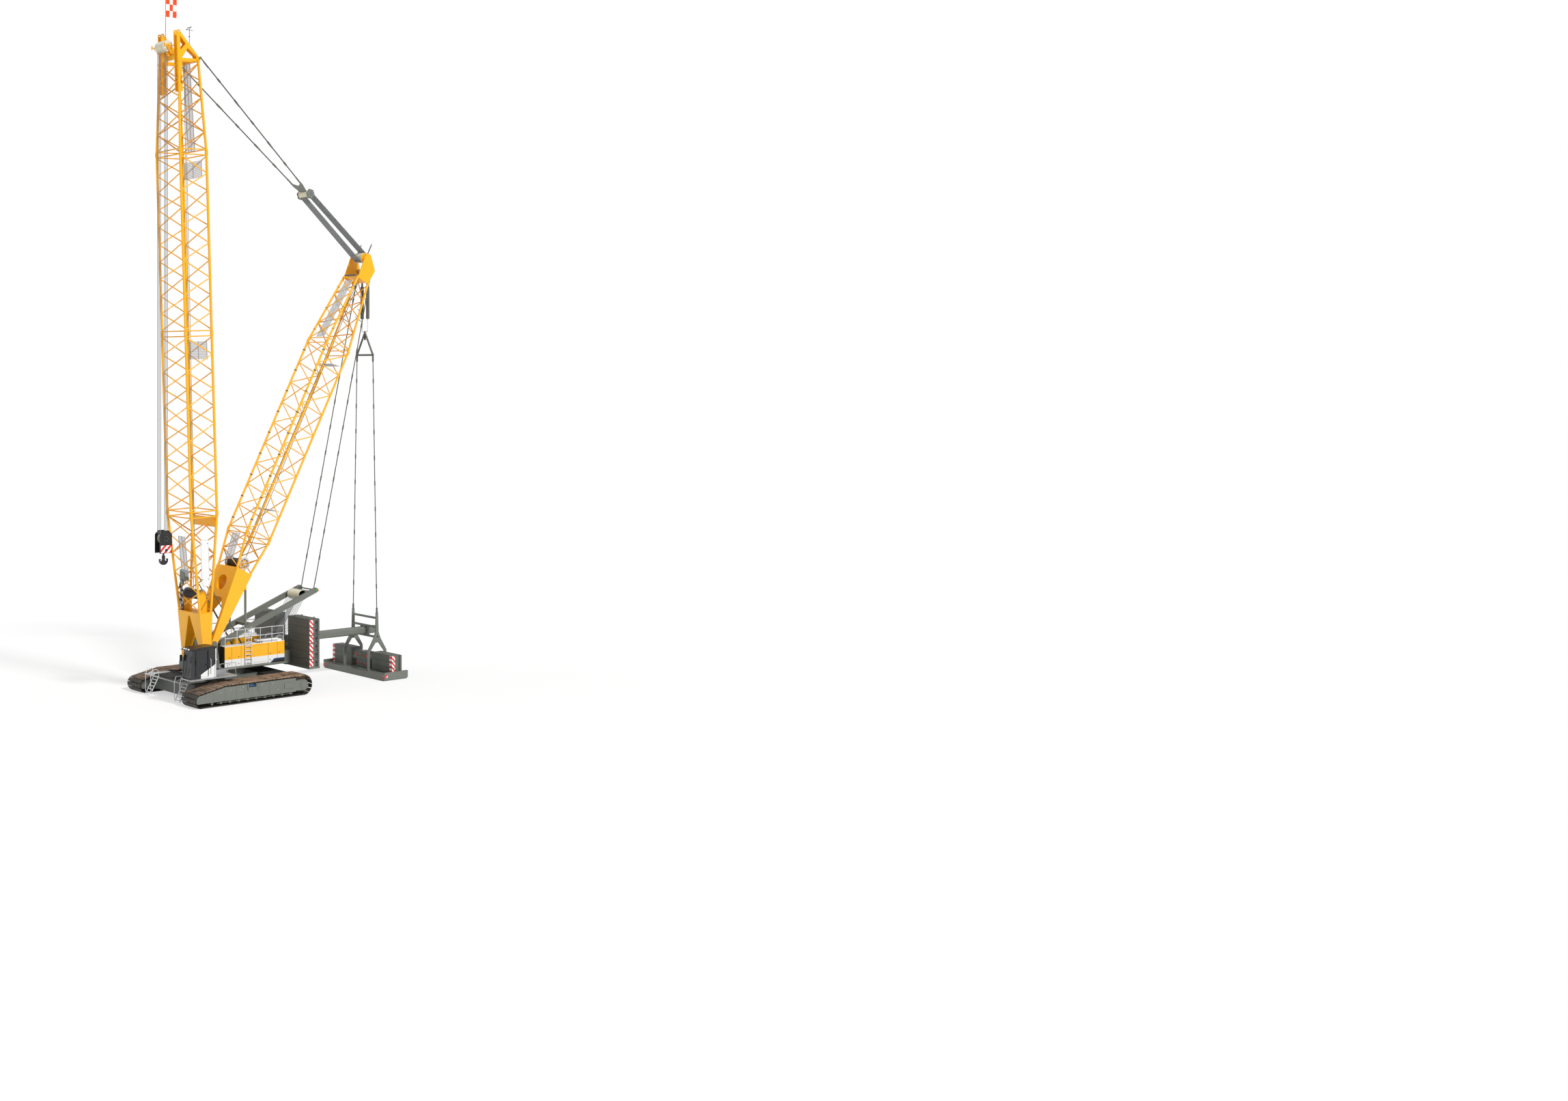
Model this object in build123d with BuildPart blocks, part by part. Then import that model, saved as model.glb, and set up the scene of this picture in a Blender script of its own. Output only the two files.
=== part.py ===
"""Crawler crane with a lattice main boom, a derrick mast and a suspended ballast carriage.

A scale model at 1:2. Millimetres, +Z up, the boom leans towards -Y, the cab is on the +X side.
Places are given from the slewing axis at ground level, and each piece is moved by the datum at export,
so that the whole crane's bounding box stands on its bottom centre. Pieces of the boom and of the derrick
are modelled along their own axes (x across, y towards the back, z along) and then placed.
"""

import os
from math import atan2, cos, degrees, hypot, radians, sin

from build123d import *

os.makedirs("parts", exist_ok=True)

# ---- clearances and stock ----
running_gap = 6  # between pieces that move past each other
seat_gap = 1  # between a roller and the track it runs on
tube_sides = 4  # lacing, rails and stays
chord_sides = 6  # lattice chords and struts
pin_sides = 12  # pins, eyes and bosses
drum_sides = 20  # drums, sheaves and wheels
ring_sides = 36  # slewing ring

# ---- crawlers ----
track_overall_width = 4200
shoe_width = 800
shoe_pitch = 150
shoe_length = 128
shoe_height = 32
belt_thickness = 30
sprocket_y = 2020
sprocket_r = 345
idler_y = -2110
idler_r = 250
knee_y = -1150
knee_r = 120
track_top = 680
frame_gap = 20
frame_bottom = 155
roller_r = 52
roller_count = 10
roller_first_y = -1650
roller_last_y = 1500
hub_r = 185

# ---- car body and slewing ring ----
car_body_length = 2100
car_body_width = 2040
car_body_bottom = 260
car_body_top = 690
car_arm_length = 420
car_arm_y = 700
car_arm_bottom = 300
car_arm_top = 600
ring_r = 860
ring_width = 110
ring_height = 120
weight_length = 760
weight_bottom = 160
weight_top = 640
weight_half_width = 1230
deck_thickness = 30

# ---- upper carriage ----
girder_half_width = 540
girder_top = 1250
upper_deck_thickness = 70
upper_front_y = -1180
upper_rear_y = 2590
upper_tail_y = 3040
house_outer_x = 900
house_inner_x = 575
house_front_y = -386
house_rear_y = 2090
house_bottom = 975
house_top = 1675
house_wall = 24

# ---- cab ----
cab_inner_x = 1100
cab_outer_x = 1600
cab_front_y = -2200
cab_rear_y = -1190
cab_bottom = 870
cab_top = 1850
cab_wall = 28
cab_rake = 80
glass_thickness = 10
cab_door_front_y = -2020
cab_door_rear_y = -1480
cab_door_bottom = 925
cab_door_top = 1790

# ---- counterweight of the upper carriage ----
slab_count = 6
slab_height = 270
slab_groove = 10
slab_inner_x = 365
slab_outer_x = 1620
slab_front_y = 2600
slab_length = 450
stack_bottom = 800
recess_width = 108
recess_depth = 30
recess_share = 0.68

# ---- main boom ----
boom_y = -920
boom_z = 1250
boom_lean = 2.02
boom_half_width = 725
boom_half_depth = 516
boom_foot_length = 4870
boom_section_length = 6000
boom_head_length = 3000
boom_chord_r = 42
boom_lace_r = 19
boom_leg_width = 190
boom_leg_outer_x = 675
boom_box_top = 1580
boom_box_half_depth = 255
boom_eye_r = 140
boom_pin_r = 60
boom_pin_gap = 27
head_half_width = 600
head_half_depth = 377
head_cheek_width = 225
head_plate = 35
head_axle_r = 35
jib_lug_r = 62
jib_bore_r = 26
head_height = 1020
head_sheave_r = 180
head_sheave_half_width = 275
head_sheave_along = 20383
head_sheave_out = -586
stay_lug_out = 430
stay_lug_along = 19990

# ---- hook block ----
block_half_length = 235
block_sheave_r = 150

# ---- derrick ----
derrick_y = -615
derrick_z = 1778
derrick_angle = 62.13
derrick_half_width = 565
derrick_half_depth = 506
derrick_foot_length = 3909
derrick_middle_length = 7353
derrick_head_lattice = 2650
derrick_length = 14762
derrick_chord_r = 36
derrick_lace_r = 17
derrick_leg_width = 120
derrick_box_top = 2640
derrick_box_half_depth = 330
derrick_eye_r = 110
derrick_pin_r = 45
derrick_head_half_width = 430
derrick_head_half_depth = 250
derrick_axle_out = -177
derrick_lug_along = 14450
derrick_lug_out = 200
derrick_lug_pin_r = 32

# ---- A-frame ----
aframe_y = -225
aframe_z = 1770
aframe_head_y = 3725
aframe_head_z = 3225
aframe_x = 470
aframe_beam_width = 110
aframe_beam_depth = 170
aframe_pin_r = 24
aframe_pin_gap = 12

# ---- suspended ballast ----
tray_half_width = 1765
tray_length = 1050
tray_height = 210
carriage_x = 675
carriage_eye_z = 2250
guide_z = 1550
guide_height = 250
guide_width = 320
guide_pin_y = 2960
guide_pin_r = 35
guide_lug_r = 80

# ---- places worked out from the sizes ----
track_outer_x = track_overall_width / 2
track_inner_x = track_outer_x - shoe_width
ring_top = car_body_top + ring_height
girder_bottom = ring_top + running_gap
boom_axes = Plane(
    origin=(0, boom_y, boom_z),
    x_dir=(1, 0, 0),
    z_dir=(0, -sin(radians(boom_lean)), cos(radians(boom_lean))),
)
derrick_axes = Plane(
    origin=(0, derrick_y, derrick_z),
    x_dir=(1, 0, 0),
    z_dir=(0, cos(radians(derrick_angle)), sin(radians(derrick_angle))),
)
head_sheave_centre = boom_axes.from_local_coords(Vector(0, head_sheave_out, head_sheave_along))
stay_lug_centre = boom_axes.from_local_coords(Vector(0, stay_lug_out, stay_lug_along))
derrick_axle_centre = derrick_axes.from_local_coords(Vector(0, derrick_axle_out, derrick_length))
ballast_lug_centre = derrick_axes.from_local_coords(Vector(0, derrick_lug_out, derrick_lug_along))
ballast_y = ballast_lug_centre.Y
front_reach_y = head_sheave_centre.Y - block_half_length
rear_reach_y = ballast_y + tray_length / 2
datum = Location((0, -(front_reach_y + rear_reach_y) / 2, 0))
boom_place = datum * boom_axes.location
derrick_place = datum * derrick_axes.location


def both_sides(inner, outer):
    """One span in x and its mirror image."""
    return ((inner, outer), (-outer, -inner))


def bars(lines, radius, sides):
    """A straight prism of a regular section along each line, from point to point."""
    made = []
    for start, end in lines:
        run = Vector(*end) - Vector(*start)
        with BuildSketch(Plane(origin=start, z_dir=run), mode=Mode.PRIVATE) as section:
            RegularPolygon(radius, sides)
        made.append(extrude(section.sketch, amount=run.length, mode=Mode.PRIVATE).solid())
    return made


def point_between(line, share):
    """The point at a share of the way along a line."""
    start, end = Vector(*line[0]), Vector(*line[1])
    return tuple(start + (end - start) * share)


def chord_lines(low, high):
    """The four chords between two stations, each given as (along, half width, front, back)."""
    corners = [
        [(half, front, along), (half, back, along), (-half, back, along), (-half, front, along)]
        for along, half, front, back in (low, high)
    ]
    return list(zip(*corners))


def zigzag_lines(chords, bays, inset):
    """Zigzag lacing on the four faces between neighbouring chords, kept an inset from both ends."""
    lacing = []
    for side in range(4):
        pair = (chords[side], chords[(side + 1) % 4])
        for bay in range(bays):
            near, far = pair if (bay + side) % 2 == 0 else pair[::-1]
            first = inset + (1 - 2 * inset) * bay / bays
            last = inset + (1 - 2 * inset) * (bay + 1) / bays
            lacing.append((point_between(near, first), point_between(far, last)))
    return lacing


def ring_lines(chords, share):
    """The square of cross tubes that ties four chords at one share of their length."""
    corners = [point_between(chord, share) for chord in chords]
    return [(corners[side], corners[(side + 1) % 4]) for side in range(4)]


def collar_lines(chords, length, shares=(0, 1)):
    """Short connector lengths at the chords' ends, where neighbouring sections are pinned."""
    collars = []
    for chord in chords:
        run = (Vector(*chord[1]) - Vector(*chord[0])).length
        if 0 in shares:
            collars.append((chord[0], point_between(chord, length / run)))
        if 1 in shares:
            collars.append((point_between(chord, 1 - length / run), chord[1]))
    return collars


on_floor = (Align.CENTER, Align.CENTER, Align.MIN)


# ==== crawlers ====
def loop_circles():
    """The circles that the track is stretched over, as (y, z, radius)."""
    return (
        (sprocket_y, sprocket_r, sprocket_r),
        (knee_y, track_top - knee_r, knee_r),
        (idler_y, idler_r, idler_r),
    )


def loop_outline(inset, sides=0):
    """The track's convex outline in (y, z), drawn in by an inset, with round or many-sided ends."""
    with BuildSketch() as outline:
        for y, z, radius in loop_circles():
            with Locations((y, z)):
                if sides:
                    RegularPolygon(radius - inset, sides)
                else:
                    Circle(radius - inset)
        make_hull()
    return outline.sketch


shoe_line = loop_outline(shoe_height / 2).face().outer_wire()
shoe_total = round(shoe_line.length / shoe_pitch)
shoe_spots = []
for shoe in range(shoe_total):
    spot, way = shoe_line @ (shoe / shoe_total), shoe_line % (shoe / shoe_total)
    shoe_spots.append(Location((spot.X, spot.Y, 0), (0, 0, degrees(atan2(way.Y, way.X)))))
belt_depth = shoe_height + belt_thickness

for side, inner_x in (("left", track_inner_x), ("right", -track_outer_x)):
    with BuildPart() as track:
        with BuildSketch(Plane.YZ.offset(inner_x)):
            add(loop_outline(shoe_height * 0.8, drum_sides))
            with Locations(*shoe_spots):
                Rectangle(shoe_length, shoe_height)
            add(loop_outline(belt_depth, drum_sides), mode=Mode.SUBTRACT)
            with Locations((0, -shoe_height)):
                Rectangle(2 * track_overall_width, 2 * shoe_height, mode=Mode.SUBTRACT)
        extrude(amount=shoe_width)
    track.part.label = f"track_{side}"
    export_step(track.part.moved(datum), f"parts/track_{side}.step")

plate_half = shoe_width / 2 - 15
wheel_half = 150
wheel_hub_r = 55
arm_end_y = sprocket_y - 330
roller_sides = 8
track_roller_z = belt_depth + seat_gap + roller_r
track_roller_step = (roller_last_y - roller_first_y) / (roller_count - 1)
roller_spots = [(roller_first_y + k * track_roller_step, track_roller_z) for k in range(roller_count)]
for side, sign in (("left", 1), ("right", -1)):
    centre_x = sign * (track_inner_x + shoe_width / 2)
    face_x = centre_x + sign * plate_half
    with BuildPart() as crawler_frame:
        with BuildSketch(Plane.YZ.offset(centre_x)):
            add(loop_outline(belt_depth + frame_gap, drum_sides))
            with Locations((0, 0)):
                Rectangle(3 * track_overall_width, 2 * frame_bottom, mode=Mode.SUBTRACT)
            with Locations((arm_end_y + 500, 0)):
                Rectangle(1000, 3 * track_top, mode=Mode.SUBTRACT)
        extrude(amount=plate_half, both=True)
        with BuildSketch(Plane.YZ.offset(centre_x)):
            with Locations((idler_y, idler_r)):
                RegularPolygon(idler_r - belt_depth + frame_gap, drum_sides, major_radius=False)
        extrude(amount=wheel_half + running_gap, both=True, mode=Mode.SUBTRACT)
        with BuildSketch(Plane.YZ.offset(centre_x)):
            with Locations(*roller_spots):
                RegularPolygon(roller_r, roller_sides)
        extrude(amount=plate_half - 40, both=True)
        for inner, outer in both_sides(wheel_half + running_gap, plate_half):
            with BuildSketch(Plane.YZ.offset(centre_x + inner)):
                with Locations((sprocket_y, sprocket_r)):
                    RegularPolygon(hub_r, drum_sides)
                with Locations((arm_end_y - 40, sprocket_r)):
                    Rectangle(60, 2 * hub_r - 60)
                make_hull()
            extrude(amount=outer - inner)
        with BuildSketch(Plane.YZ.offset(face_x)):
            with Locations((-75, 550)):
                RectangleRounded(300, 120, 25)
        extrude(amount=-sign * 120, mode=Mode.SUBTRACT)
        with BuildSketch(Plane.YZ.offset(face_x - sign * 10)):
            with Locations((1410, 385)):
                RectangleRounded(395, 200, 20)
        extrude(amount=sign * 24)
    crawler_frame.part.label = f"crawler_frame_{side}"
    export_step(crawler_frame.part.moved(datum), f"parts/crawler_frame_{side}.step")

    with BuildPart() as track_wheels:
        for y, radius in ((sprocket_y, sprocket_r), (idler_y, idler_r)):
            with BuildSketch(Plane.YZ.offset(centre_x)):
                with Locations((y, radius)):
                    RegularPolygon(radius - belt_depth - seat_gap, drum_sides)
            extrude(amount=wheel_half, both=True)
            with BuildSketch(Plane.YZ.offset(centre_x)):
                with Locations((y, radius)):
                    RegularPolygon(wheel_hub_r, pin_sides)
            extrude(amount=wheel_half + running_gap, both=True)
    track_wheels.part.label = f"track_wheels_{side}"
    export_step(track_wheels.part.moved(datum), f"parts/track_wheels_{side}.step")


# ==== car body ====
frame_face_x = track_inner_x + shoe_width / 2 - plate_half
with BuildPart() as car_body:
    with BuildSketch(Plane.XY.offset(car_body_bottom)):
        Rectangle(car_body_width, car_body_length)
        chamfer(vertices(), 260)
    extrude(amount=car_body_top - car_body_bottom)
    with Locations(*[(0, y, (car_arm_bottom + car_arm_top) / 2) for y in (-car_arm_y, car_arm_y)]):
        Box(2 * frame_face_x, car_arm_length, car_arm_top - car_arm_bottom)
    with BuildSketch(Plane.XY.offset(car_body_top)):
        RegularPolygon(ring_r, ring_sides)
        RegularPolygon(ring_r - ring_width, ring_sides, mode=Mode.SUBTRACT)
    extrude(amount=ring_height)
car_body.part.label = "car_body"
export_step(car_body.part.moved(datum), "parts/car_body.step")

weight_near_y = car_body_length / 2
with BuildPart() as car_body_weights:
    for sign in (-1, 1):
        with BuildSketch(Plane.XY.offset(weight_bottom)):
            with Locations((0, sign * (weight_near_y + weight_length / 2))):
                Rectangle(2 * weight_half_width, weight_length)
        extrude(amount=weight_top - weight_bottom)
    chamfer(car_body_weights.edges().filter_by(Axis.Z), 25)
car_body_weights.part.label = "car_body_weights"
export_step(car_body_weights.part.moved(datum), "parts/car_body_weights.step")

walkway_depth = 120
ladder_rise = weight_top - 60
ladder_run = 330
ladder_width = 300
rail_r = 11


def ladder_lines(x, foot, head, width, rungs):
    """Two stiles and their rungs, for a ladder whose ends are given as (y, z)."""
    left = ((x - width / 2, *foot), (x - width / 2, *head))
    right = ((x + width / 2, *foot), (x + width / 2, *head))
    steps = []
    for rung in range(rungs):
        share = (rung + 0.5) / rungs
        steps.append((point_between(left, share), point_between(right, share)))
    return [left, right] + steps


deck_front = weight_near_y + weight_length + walkway_depth
with BuildPart() as car_body_decks:
    for sign in (-1, 1):
        with Locations((0, sign * (weight_near_y + deck_front) / 2, weight_top + deck_thickness / 2)):
            Box(2 * weight_half_width + 60, deck_front - weight_near_y, deck_thickness)
    foot = (-deck_front - ladder_run, 60)
    head = (-deck_front + 8, weight_top + deck_thickness / 2)
    for x in (-900, 900):
        add(bars(ladder_lines(x, foot, head, ladder_width, 6), 14, tube_sides))
car_body_decks.part.label = "car_body_decks"
export_step(car_body_decks.part.moved(datum), "parts/car_body_decks.step")


# ==== upper carriage ====
boom_leg_inner_x = boom_leg_outer_x - boom_leg_width
lug_thickness = 34
derrick_leg_inner_x = derrick_half_width - derrick_leg_width / 2
derrick_leg_outer_x = derrick_half_width + derrick_leg_width / 2
bracket_thickness = 30
stub_r = 40
winch_y = 2300
winch_z = 1560
winch_drum_r = 150
winch_flange_r = 220
winch_half = 300


def lug_plates(spans, centre, radius, base_y, base_z):
    """Lug plates that rise from a base line to a round eye, one for each span in x."""
    plates = []
    for low, high in spans:
        with BuildSketch(Plane.YZ.offset(low), mode=Mode.PRIVATE) as profile:
            with Locations(centre):
                RegularPolygon(radius, pin_sides)
            with Locations((sum(base_y) / 2, base_z)):
                Rectangle(base_y[1] - base_y[0], 20)
            make_hull()
        plates.append(extrude(profile.sketch, amount=high - low, mode=Mode.PRIVATE).solid())
    return plates


def side_pins(spans, centre, radius, sides=pin_sides, bore=False):
    """Pins along x, one for each span. A bore keeps its flats outside the radius."""
    pins = []
    for low, high in spans:
        with BuildSketch(Plane.YZ.offset(low), mode=Mode.PRIVATE) as section:
            with Locations(centre):
                RegularPolygon(radius, sides, major_radius=not bore)
        pins.append(extrude(section.sketch, amount=high - low, mode=Mode.PRIVATE).solid())
    return pins


boom_lug_inner = boom_leg_inner_x - running_gap
boom_lug_outer = boom_leg_outer_x + running_gap
derrick_bracket_inner = derrick_leg_inner_x - running_gap
derrick_bracket_outer = derrick_leg_outer_x + running_gap
aframe_inner = aframe_x - aframe_beam_width / 2 - running_gap
aframe_outer = aframe_x + aframe_beam_width / 2 + running_gap
saddle_top = 1080
saddle_y = (-1150, -400)
saddle_slot = (200, 500)
boom_lug_base = (-1120, -720)
boom_lug_r = 105
derrick_lug_base = (derrick_y - 90, derrick_y + 190)
derrick_bracket_r = 85
aframe_base = (aframe_y - 150, aframe_y + 250)
aframe_bracket_r = 80
girder_width = 160
weld_depth = 12
platform_thickness = 30
carrier_height = 70
boom_brackets = both_sides(boom_lug_inner - lug_thickness, boom_lug_inner)
boom_brackets += both_sides(boom_lug_outer, boom_lug_outer + lug_thickness)
boom_pin_spans = both_sides(boom_brackets[0][0] - weld_depth, boom_brackets[2][1] + weld_depth)
derrick_brackets = both_sides(derrick_bracket_inner - bracket_thickness, derrick_bracket_inner)
derrick_brackets += both_sides(derrick_bracket_outer, derrick_bracket_outer + bracket_thickness)
derrick_pin_spans = both_sides(derrick_brackets[0][0], derrick_brackets[2][1])
aframe_brackets = both_sides(aframe_inner - bracket_thickness, aframe_inner)
aframe_brackets += both_sides(aframe_outer, aframe_outer + bracket_thickness)
aframe_pin_spans = both_sides(aframe_brackets[0][0], aframe_brackets[2][1])
winch_outer = winch_half + running_gap + bracket_thickness
guide_inner = guide_width / 2 + running_gap
guide_outer = guide_inner + bracket_thickness
carriage_mid_y = (upper_front_y + upper_rear_y) / 2
carriage_length = upper_rear_y - upper_front_y
house_mid_y = (house_front_y + house_rear_y) / 2
house_length = house_rear_y - house_front_y
with BuildPart() as turntable:
    with BuildSketch(Plane.XY.offset(girder_bottom)):
        RegularPolygon(ring_r, ring_sides)
        with Locations((0, carriage_mid_y)):
            Rectangle(2 * girder_half_width, carriage_length)
    extrude(amount=upper_deck_thickness)
    for sign in (-1, 1):
        with Locations((sign * (girder_half_width - girder_width / 2), carriage_mid_y, girder_bottom)):
            Box(girder_width, carriage_length, girder_top - girder_bottom, align=on_floor)
    slot_x = boom_lug_inner + saddle_slot[0] / 2
    slot_spots = [(x, boom_y - 30, saddle_top) for x in (-slot_x, slot_x)]
    with Locations(*slot_spots):
        Box(*saddle_slot, 400, align=on_floor, mode=Mode.SUBTRACT)
    with Locations((0, sum(saddle_y) / 2, (girder_bottom + saddle_top) / 2)):
        Box(2 * (boom_lug_outer + lug_thickness), saddle_y[1] - saddle_y[0], saddle_top - girder_bottom)
    add(lug_plates(boom_brackets, (boom_y, boom_z), boom_lug_r, boom_lug_base, saddle_top - 5))
    add(side_pins(boom_pin_spans, (boom_y, boom_z), boom_pin_r))
    derrick_pivot = (derrick_y, derrick_z)
    add(lug_plates(derrick_brackets, derrick_pivot, derrick_bracket_r, derrick_lug_base, saddle_top - 5))
    add(side_pins(derrick_pin_spans, derrick_pivot, derrick_pin_r))
    aframe_pivot = (aframe_y, aframe_z)
    weld_z = girder_top - weld_depth
    add(lug_plates(aframe_brackets, aframe_pivot, aframe_bracket_r, aframe_base, weld_z))
    add(side_pins(aframe_pin_spans, aframe_pivot, stub_r))
    winch_base = (winch_y - 260, winch_y + 260)
    winch_brackets = both_sides(winch_half + running_gap, winch_outer)
    add(lug_plates(winch_brackets, (winch_y, winch_z), 160, winch_base, girder_bottom + 30))
    add(side_pins(both_sides(winch_half - 60, winch_outer), (winch_y, winch_z), stub_r))
    for low, high in both_sides(girder_half_width - 20, house_outer_x + 150):
        with Locations(((low + high) / 2, house_mid_y, house_bottom - platform_thickness / 2)):
            Box(high - low, house_length, platform_thickness)
    tail_bottom = stack_bottom - carrier_height
    with Locations((0, slab_front_y + slab_length / 2, (stack_bottom + tail_bottom) / 2)):
        Box(2 * slab_outer_x, slab_length, carrier_height)
    with Locations((0, (upper_rear_y + upper_tail_y) / 2 - 20, (tail_bottom + girder_top) / 2)):
        Box(2 * slab_inner_x - 40, upper_tail_y - upper_rear_y + 40, girder_top - tail_bottom)
    guide_base = (guide_pin_y - 180, guide_pin_y + 60)
    guide_pivot = (guide_pin_y, guide_z)
    add(lug_plates(both_sides(guide_inner, guide_outer), guide_pivot, guide_lug_r, guide_base, weld_z))
    add(side_pins(both_sides(guide_width / 2 - 40, guide_outer), guide_pivot, guide_pin_r))
turntable.part.label = "turntable"
export_step(turntable.part.moved(datum), "parts/turntable.step")

flange_thickness = 25
winch_centre = (winch_y, winch_z)
winch_bore_spans = both_sides(winch_half - 66, winch_half)
with BuildPart() as rear_winch_drum:
    add(side_pins(((-winch_half, winch_half),), winch_centre, winch_drum_r, drum_sides))
    flange_spans = both_sides(winch_half - flange_thickness, winch_half)
    add(side_pins(flange_spans, winch_centre, winch_flange_r, drum_sides))
    add(side_pins(winch_bore_spans, winch_centre, stub_r + seat_gap, bore=True), mode=Mode.SUBTRACT)
rear_winch_drum.part.label = "rear_winch_drum"
export_step(rear_winch_drum.part.moved(datum), "parts/rear_winch_drum.step")

door_front_y = 700
door_rear_y = 1400
door_bottom = 1040
door_top = 1620
door_mid_y = (door_front_y + door_rear_y) / 2
door_mid_z = (door_bottom + door_top) / 2
door_length = door_rear_y - door_front_y
door_height = door_top - door_bottom
hood_y = 1600
hood_length = 850
hood_width = 230
hood_height = 60
for side, sign in (("left", 1), ("right", -1)):
    centre_x = sign * (house_inner_x + house_outer_x) / 2
    house_width = house_outer_x - house_inner_x
    with BuildPart() as machine_house:
        with BuildSketch(Plane.XY.offset(house_bottom)):
            with Locations((centre_x, house_mid_y)):
                Rectangle(house_width, house_length)
        extrude(amount=house_top - house_bottom)
        chamfer(machine_house.edges().filter_by(Axis.Z), 15)
        with BuildSketch(Plane.XY.offset(house_bottom + house_wall)):
            with Locations((centre_x, house_mid_y)):
                Rectangle(house_width - 2 * house_wall, house_length - 2 * house_wall)
        extrude(amount=house_top - house_bottom - 2 * house_wall, mode=Mode.SUBTRACT)
        with Locations((sign * house_outer_x, door_mid_y, door_mid_z)):
            Box(4 * house_wall, door_length, door_height, mode=Mode.SUBTRACT)
        with BuildSketch(Plane.XY.offset(house_top)):
            with Locations((centre_x, hood_y)):
                Rectangle(hood_width, hood_length)
            chamfer(vertices(), 40)
        extrude(amount=hood_height)
    machine_house.part.label = f"machine_house_{side}"
    export_step(machine_house.part.moved(datum), f"parts/machine_house_{side}.step")

    with BuildPart() as house_door:
        with Locations((sign * (house_outer_x - house_wall / 2), door_mid_y, door_mid_z)):
            Box(house_wall, door_length - 2 * running_gap, door_height - 2 * running_gap)
        with Locations((sign * (house_outer_x + 5), door_front_y + 60, door_mid_z)):
            Box(10, 60, 30)
    house_door.part.label = f"house_door_{side}"
    export_step(house_door.part.moved(datum), f"parts/house_door_{side}.step")

with BuildPart() as engine:
    for sign in (-1, 1):
        with Locations((sign * (house_inner_x + house_outer_x) / 2, 1050, house_bottom + house_wall + 220)):
            Box(220, 1300, 440)
engine.part.label = "engine"
export_step(engine.part.moved(datum), "parts/engine.step")

rail_heights = (265, 515)
rail_bays = 5
rail_first_y = house_front_y + 40
rail_last_y = house_rear_y - 40
ladder_x = house_outer_x + 30
ladder_y = (430, 685)
ladder_top = 2260
rung_pitch = 140
with BuildPart() as house_rails:
    for sign in (-1, 1):
        x = sign * (house_outer_x - 30)
        post_ys = [rail_first_y + k * (rail_last_y - rail_first_y) / rail_bays for k in range(rail_bays + 1)]
        posts = [((x, y, house_top), (x, y, house_top + rail_heights[1] + 5)) for y in post_ys]
        runs = [((x, rail_first_y, house_top + h), (x, rail_last_y, house_top + h)) for h in rail_heights]
        add(bars(posts + runs, rail_r, tube_sides))
    stiles = [((ladder_x, y, house_bottom), (ladder_x, y, ladder_top)) for y in ladder_y]
    rung_zs = [house_bottom + 85 + k * rung_pitch for k in range(8)]
    rungs = [((ladder_x, ladder_y[0], z), (ladder_x, ladder_y[1], z)) for z in rung_zs]
    tie_z = house_top + rail_heights[0]
    ties = [((house_outer_x - 30, y, tie_z), (ladder_x, y, tie_z)) for y in ladder_y]
    add(bars(stiles + rungs + ties, rail_r + 2, tube_sides))
house_rails.part.label = "house_rails"
export_step(house_rails.part.moved(datum), "parts/house_rails.step")

stack_height = slab_count * slab_height
for side, sign in (("left", 1), ("right", -1)):
    slab_x = sign * (slab_inner_x + slab_outer_x) / 2
    with BuildPart() as counterweight:
        for slab in range(slab_count):
            base_z = stack_bottom + slab * slab_height
            with BuildSketch(Plane.XY.offset(base_z)):
                with Locations((slab_x, slab_front_y + slab_length / 2)):
                    Rectangle(slab_outer_x - slab_inner_x - 2 * slab_groove, slab_length - 2 * slab_groove)
            extrude(amount=slab_height)
            with BuildSketch(Plane.XY.offset(base_z)):
                with Locations((slab_x, slab_front_y + slab_length / 2)):
                    Rectangle(slab_outer_x - slab_inner_x, slab_length)
                chamfer(vertices(), 30)
            extrude(amount=slab_height - slab_groove)
        with Locations((sign * slab_outer_x, slab_front_y + recess_share * slab_length, stack_bottom)):
            Box(2 * recess_depth, recess_width, stack_height, align=on_floor, mode=Mode.SUBTRACT)
    counterweight.part.label = f"counterweight_{side}"
    export_step(counterweight.part.moved(datum), f"parts/counterweight_{side}.step")


# ==== cab ====
def cab_profile(inset):
    """The cab's side outline in the (y, z) plane, drawn in by an inset."""
    with BuildSketch() as profile:
        with BuildLine():
            Polyline(
                (cab_front_y + inset, cab_bottom + inset),
                (cab_front_y + cab_rake + inset, cab_top - 60 - inset),
                (cab_rear_y - inset, cab_top - inset),
                (cab_rear_y - inset, cab_bottom + inset),
                close=True,
            )
        make_face()
        fillet(profile.vertices().group_by(Axis.Y)[0], 40)
    return profile.sketch


def front_y_at(z):
    """How far forward the raked front wall stands at a height."""
    return cab_front_y + cab_rake * (z - cab_bottom) / (cab_top - 60 - cab_bottom)


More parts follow.
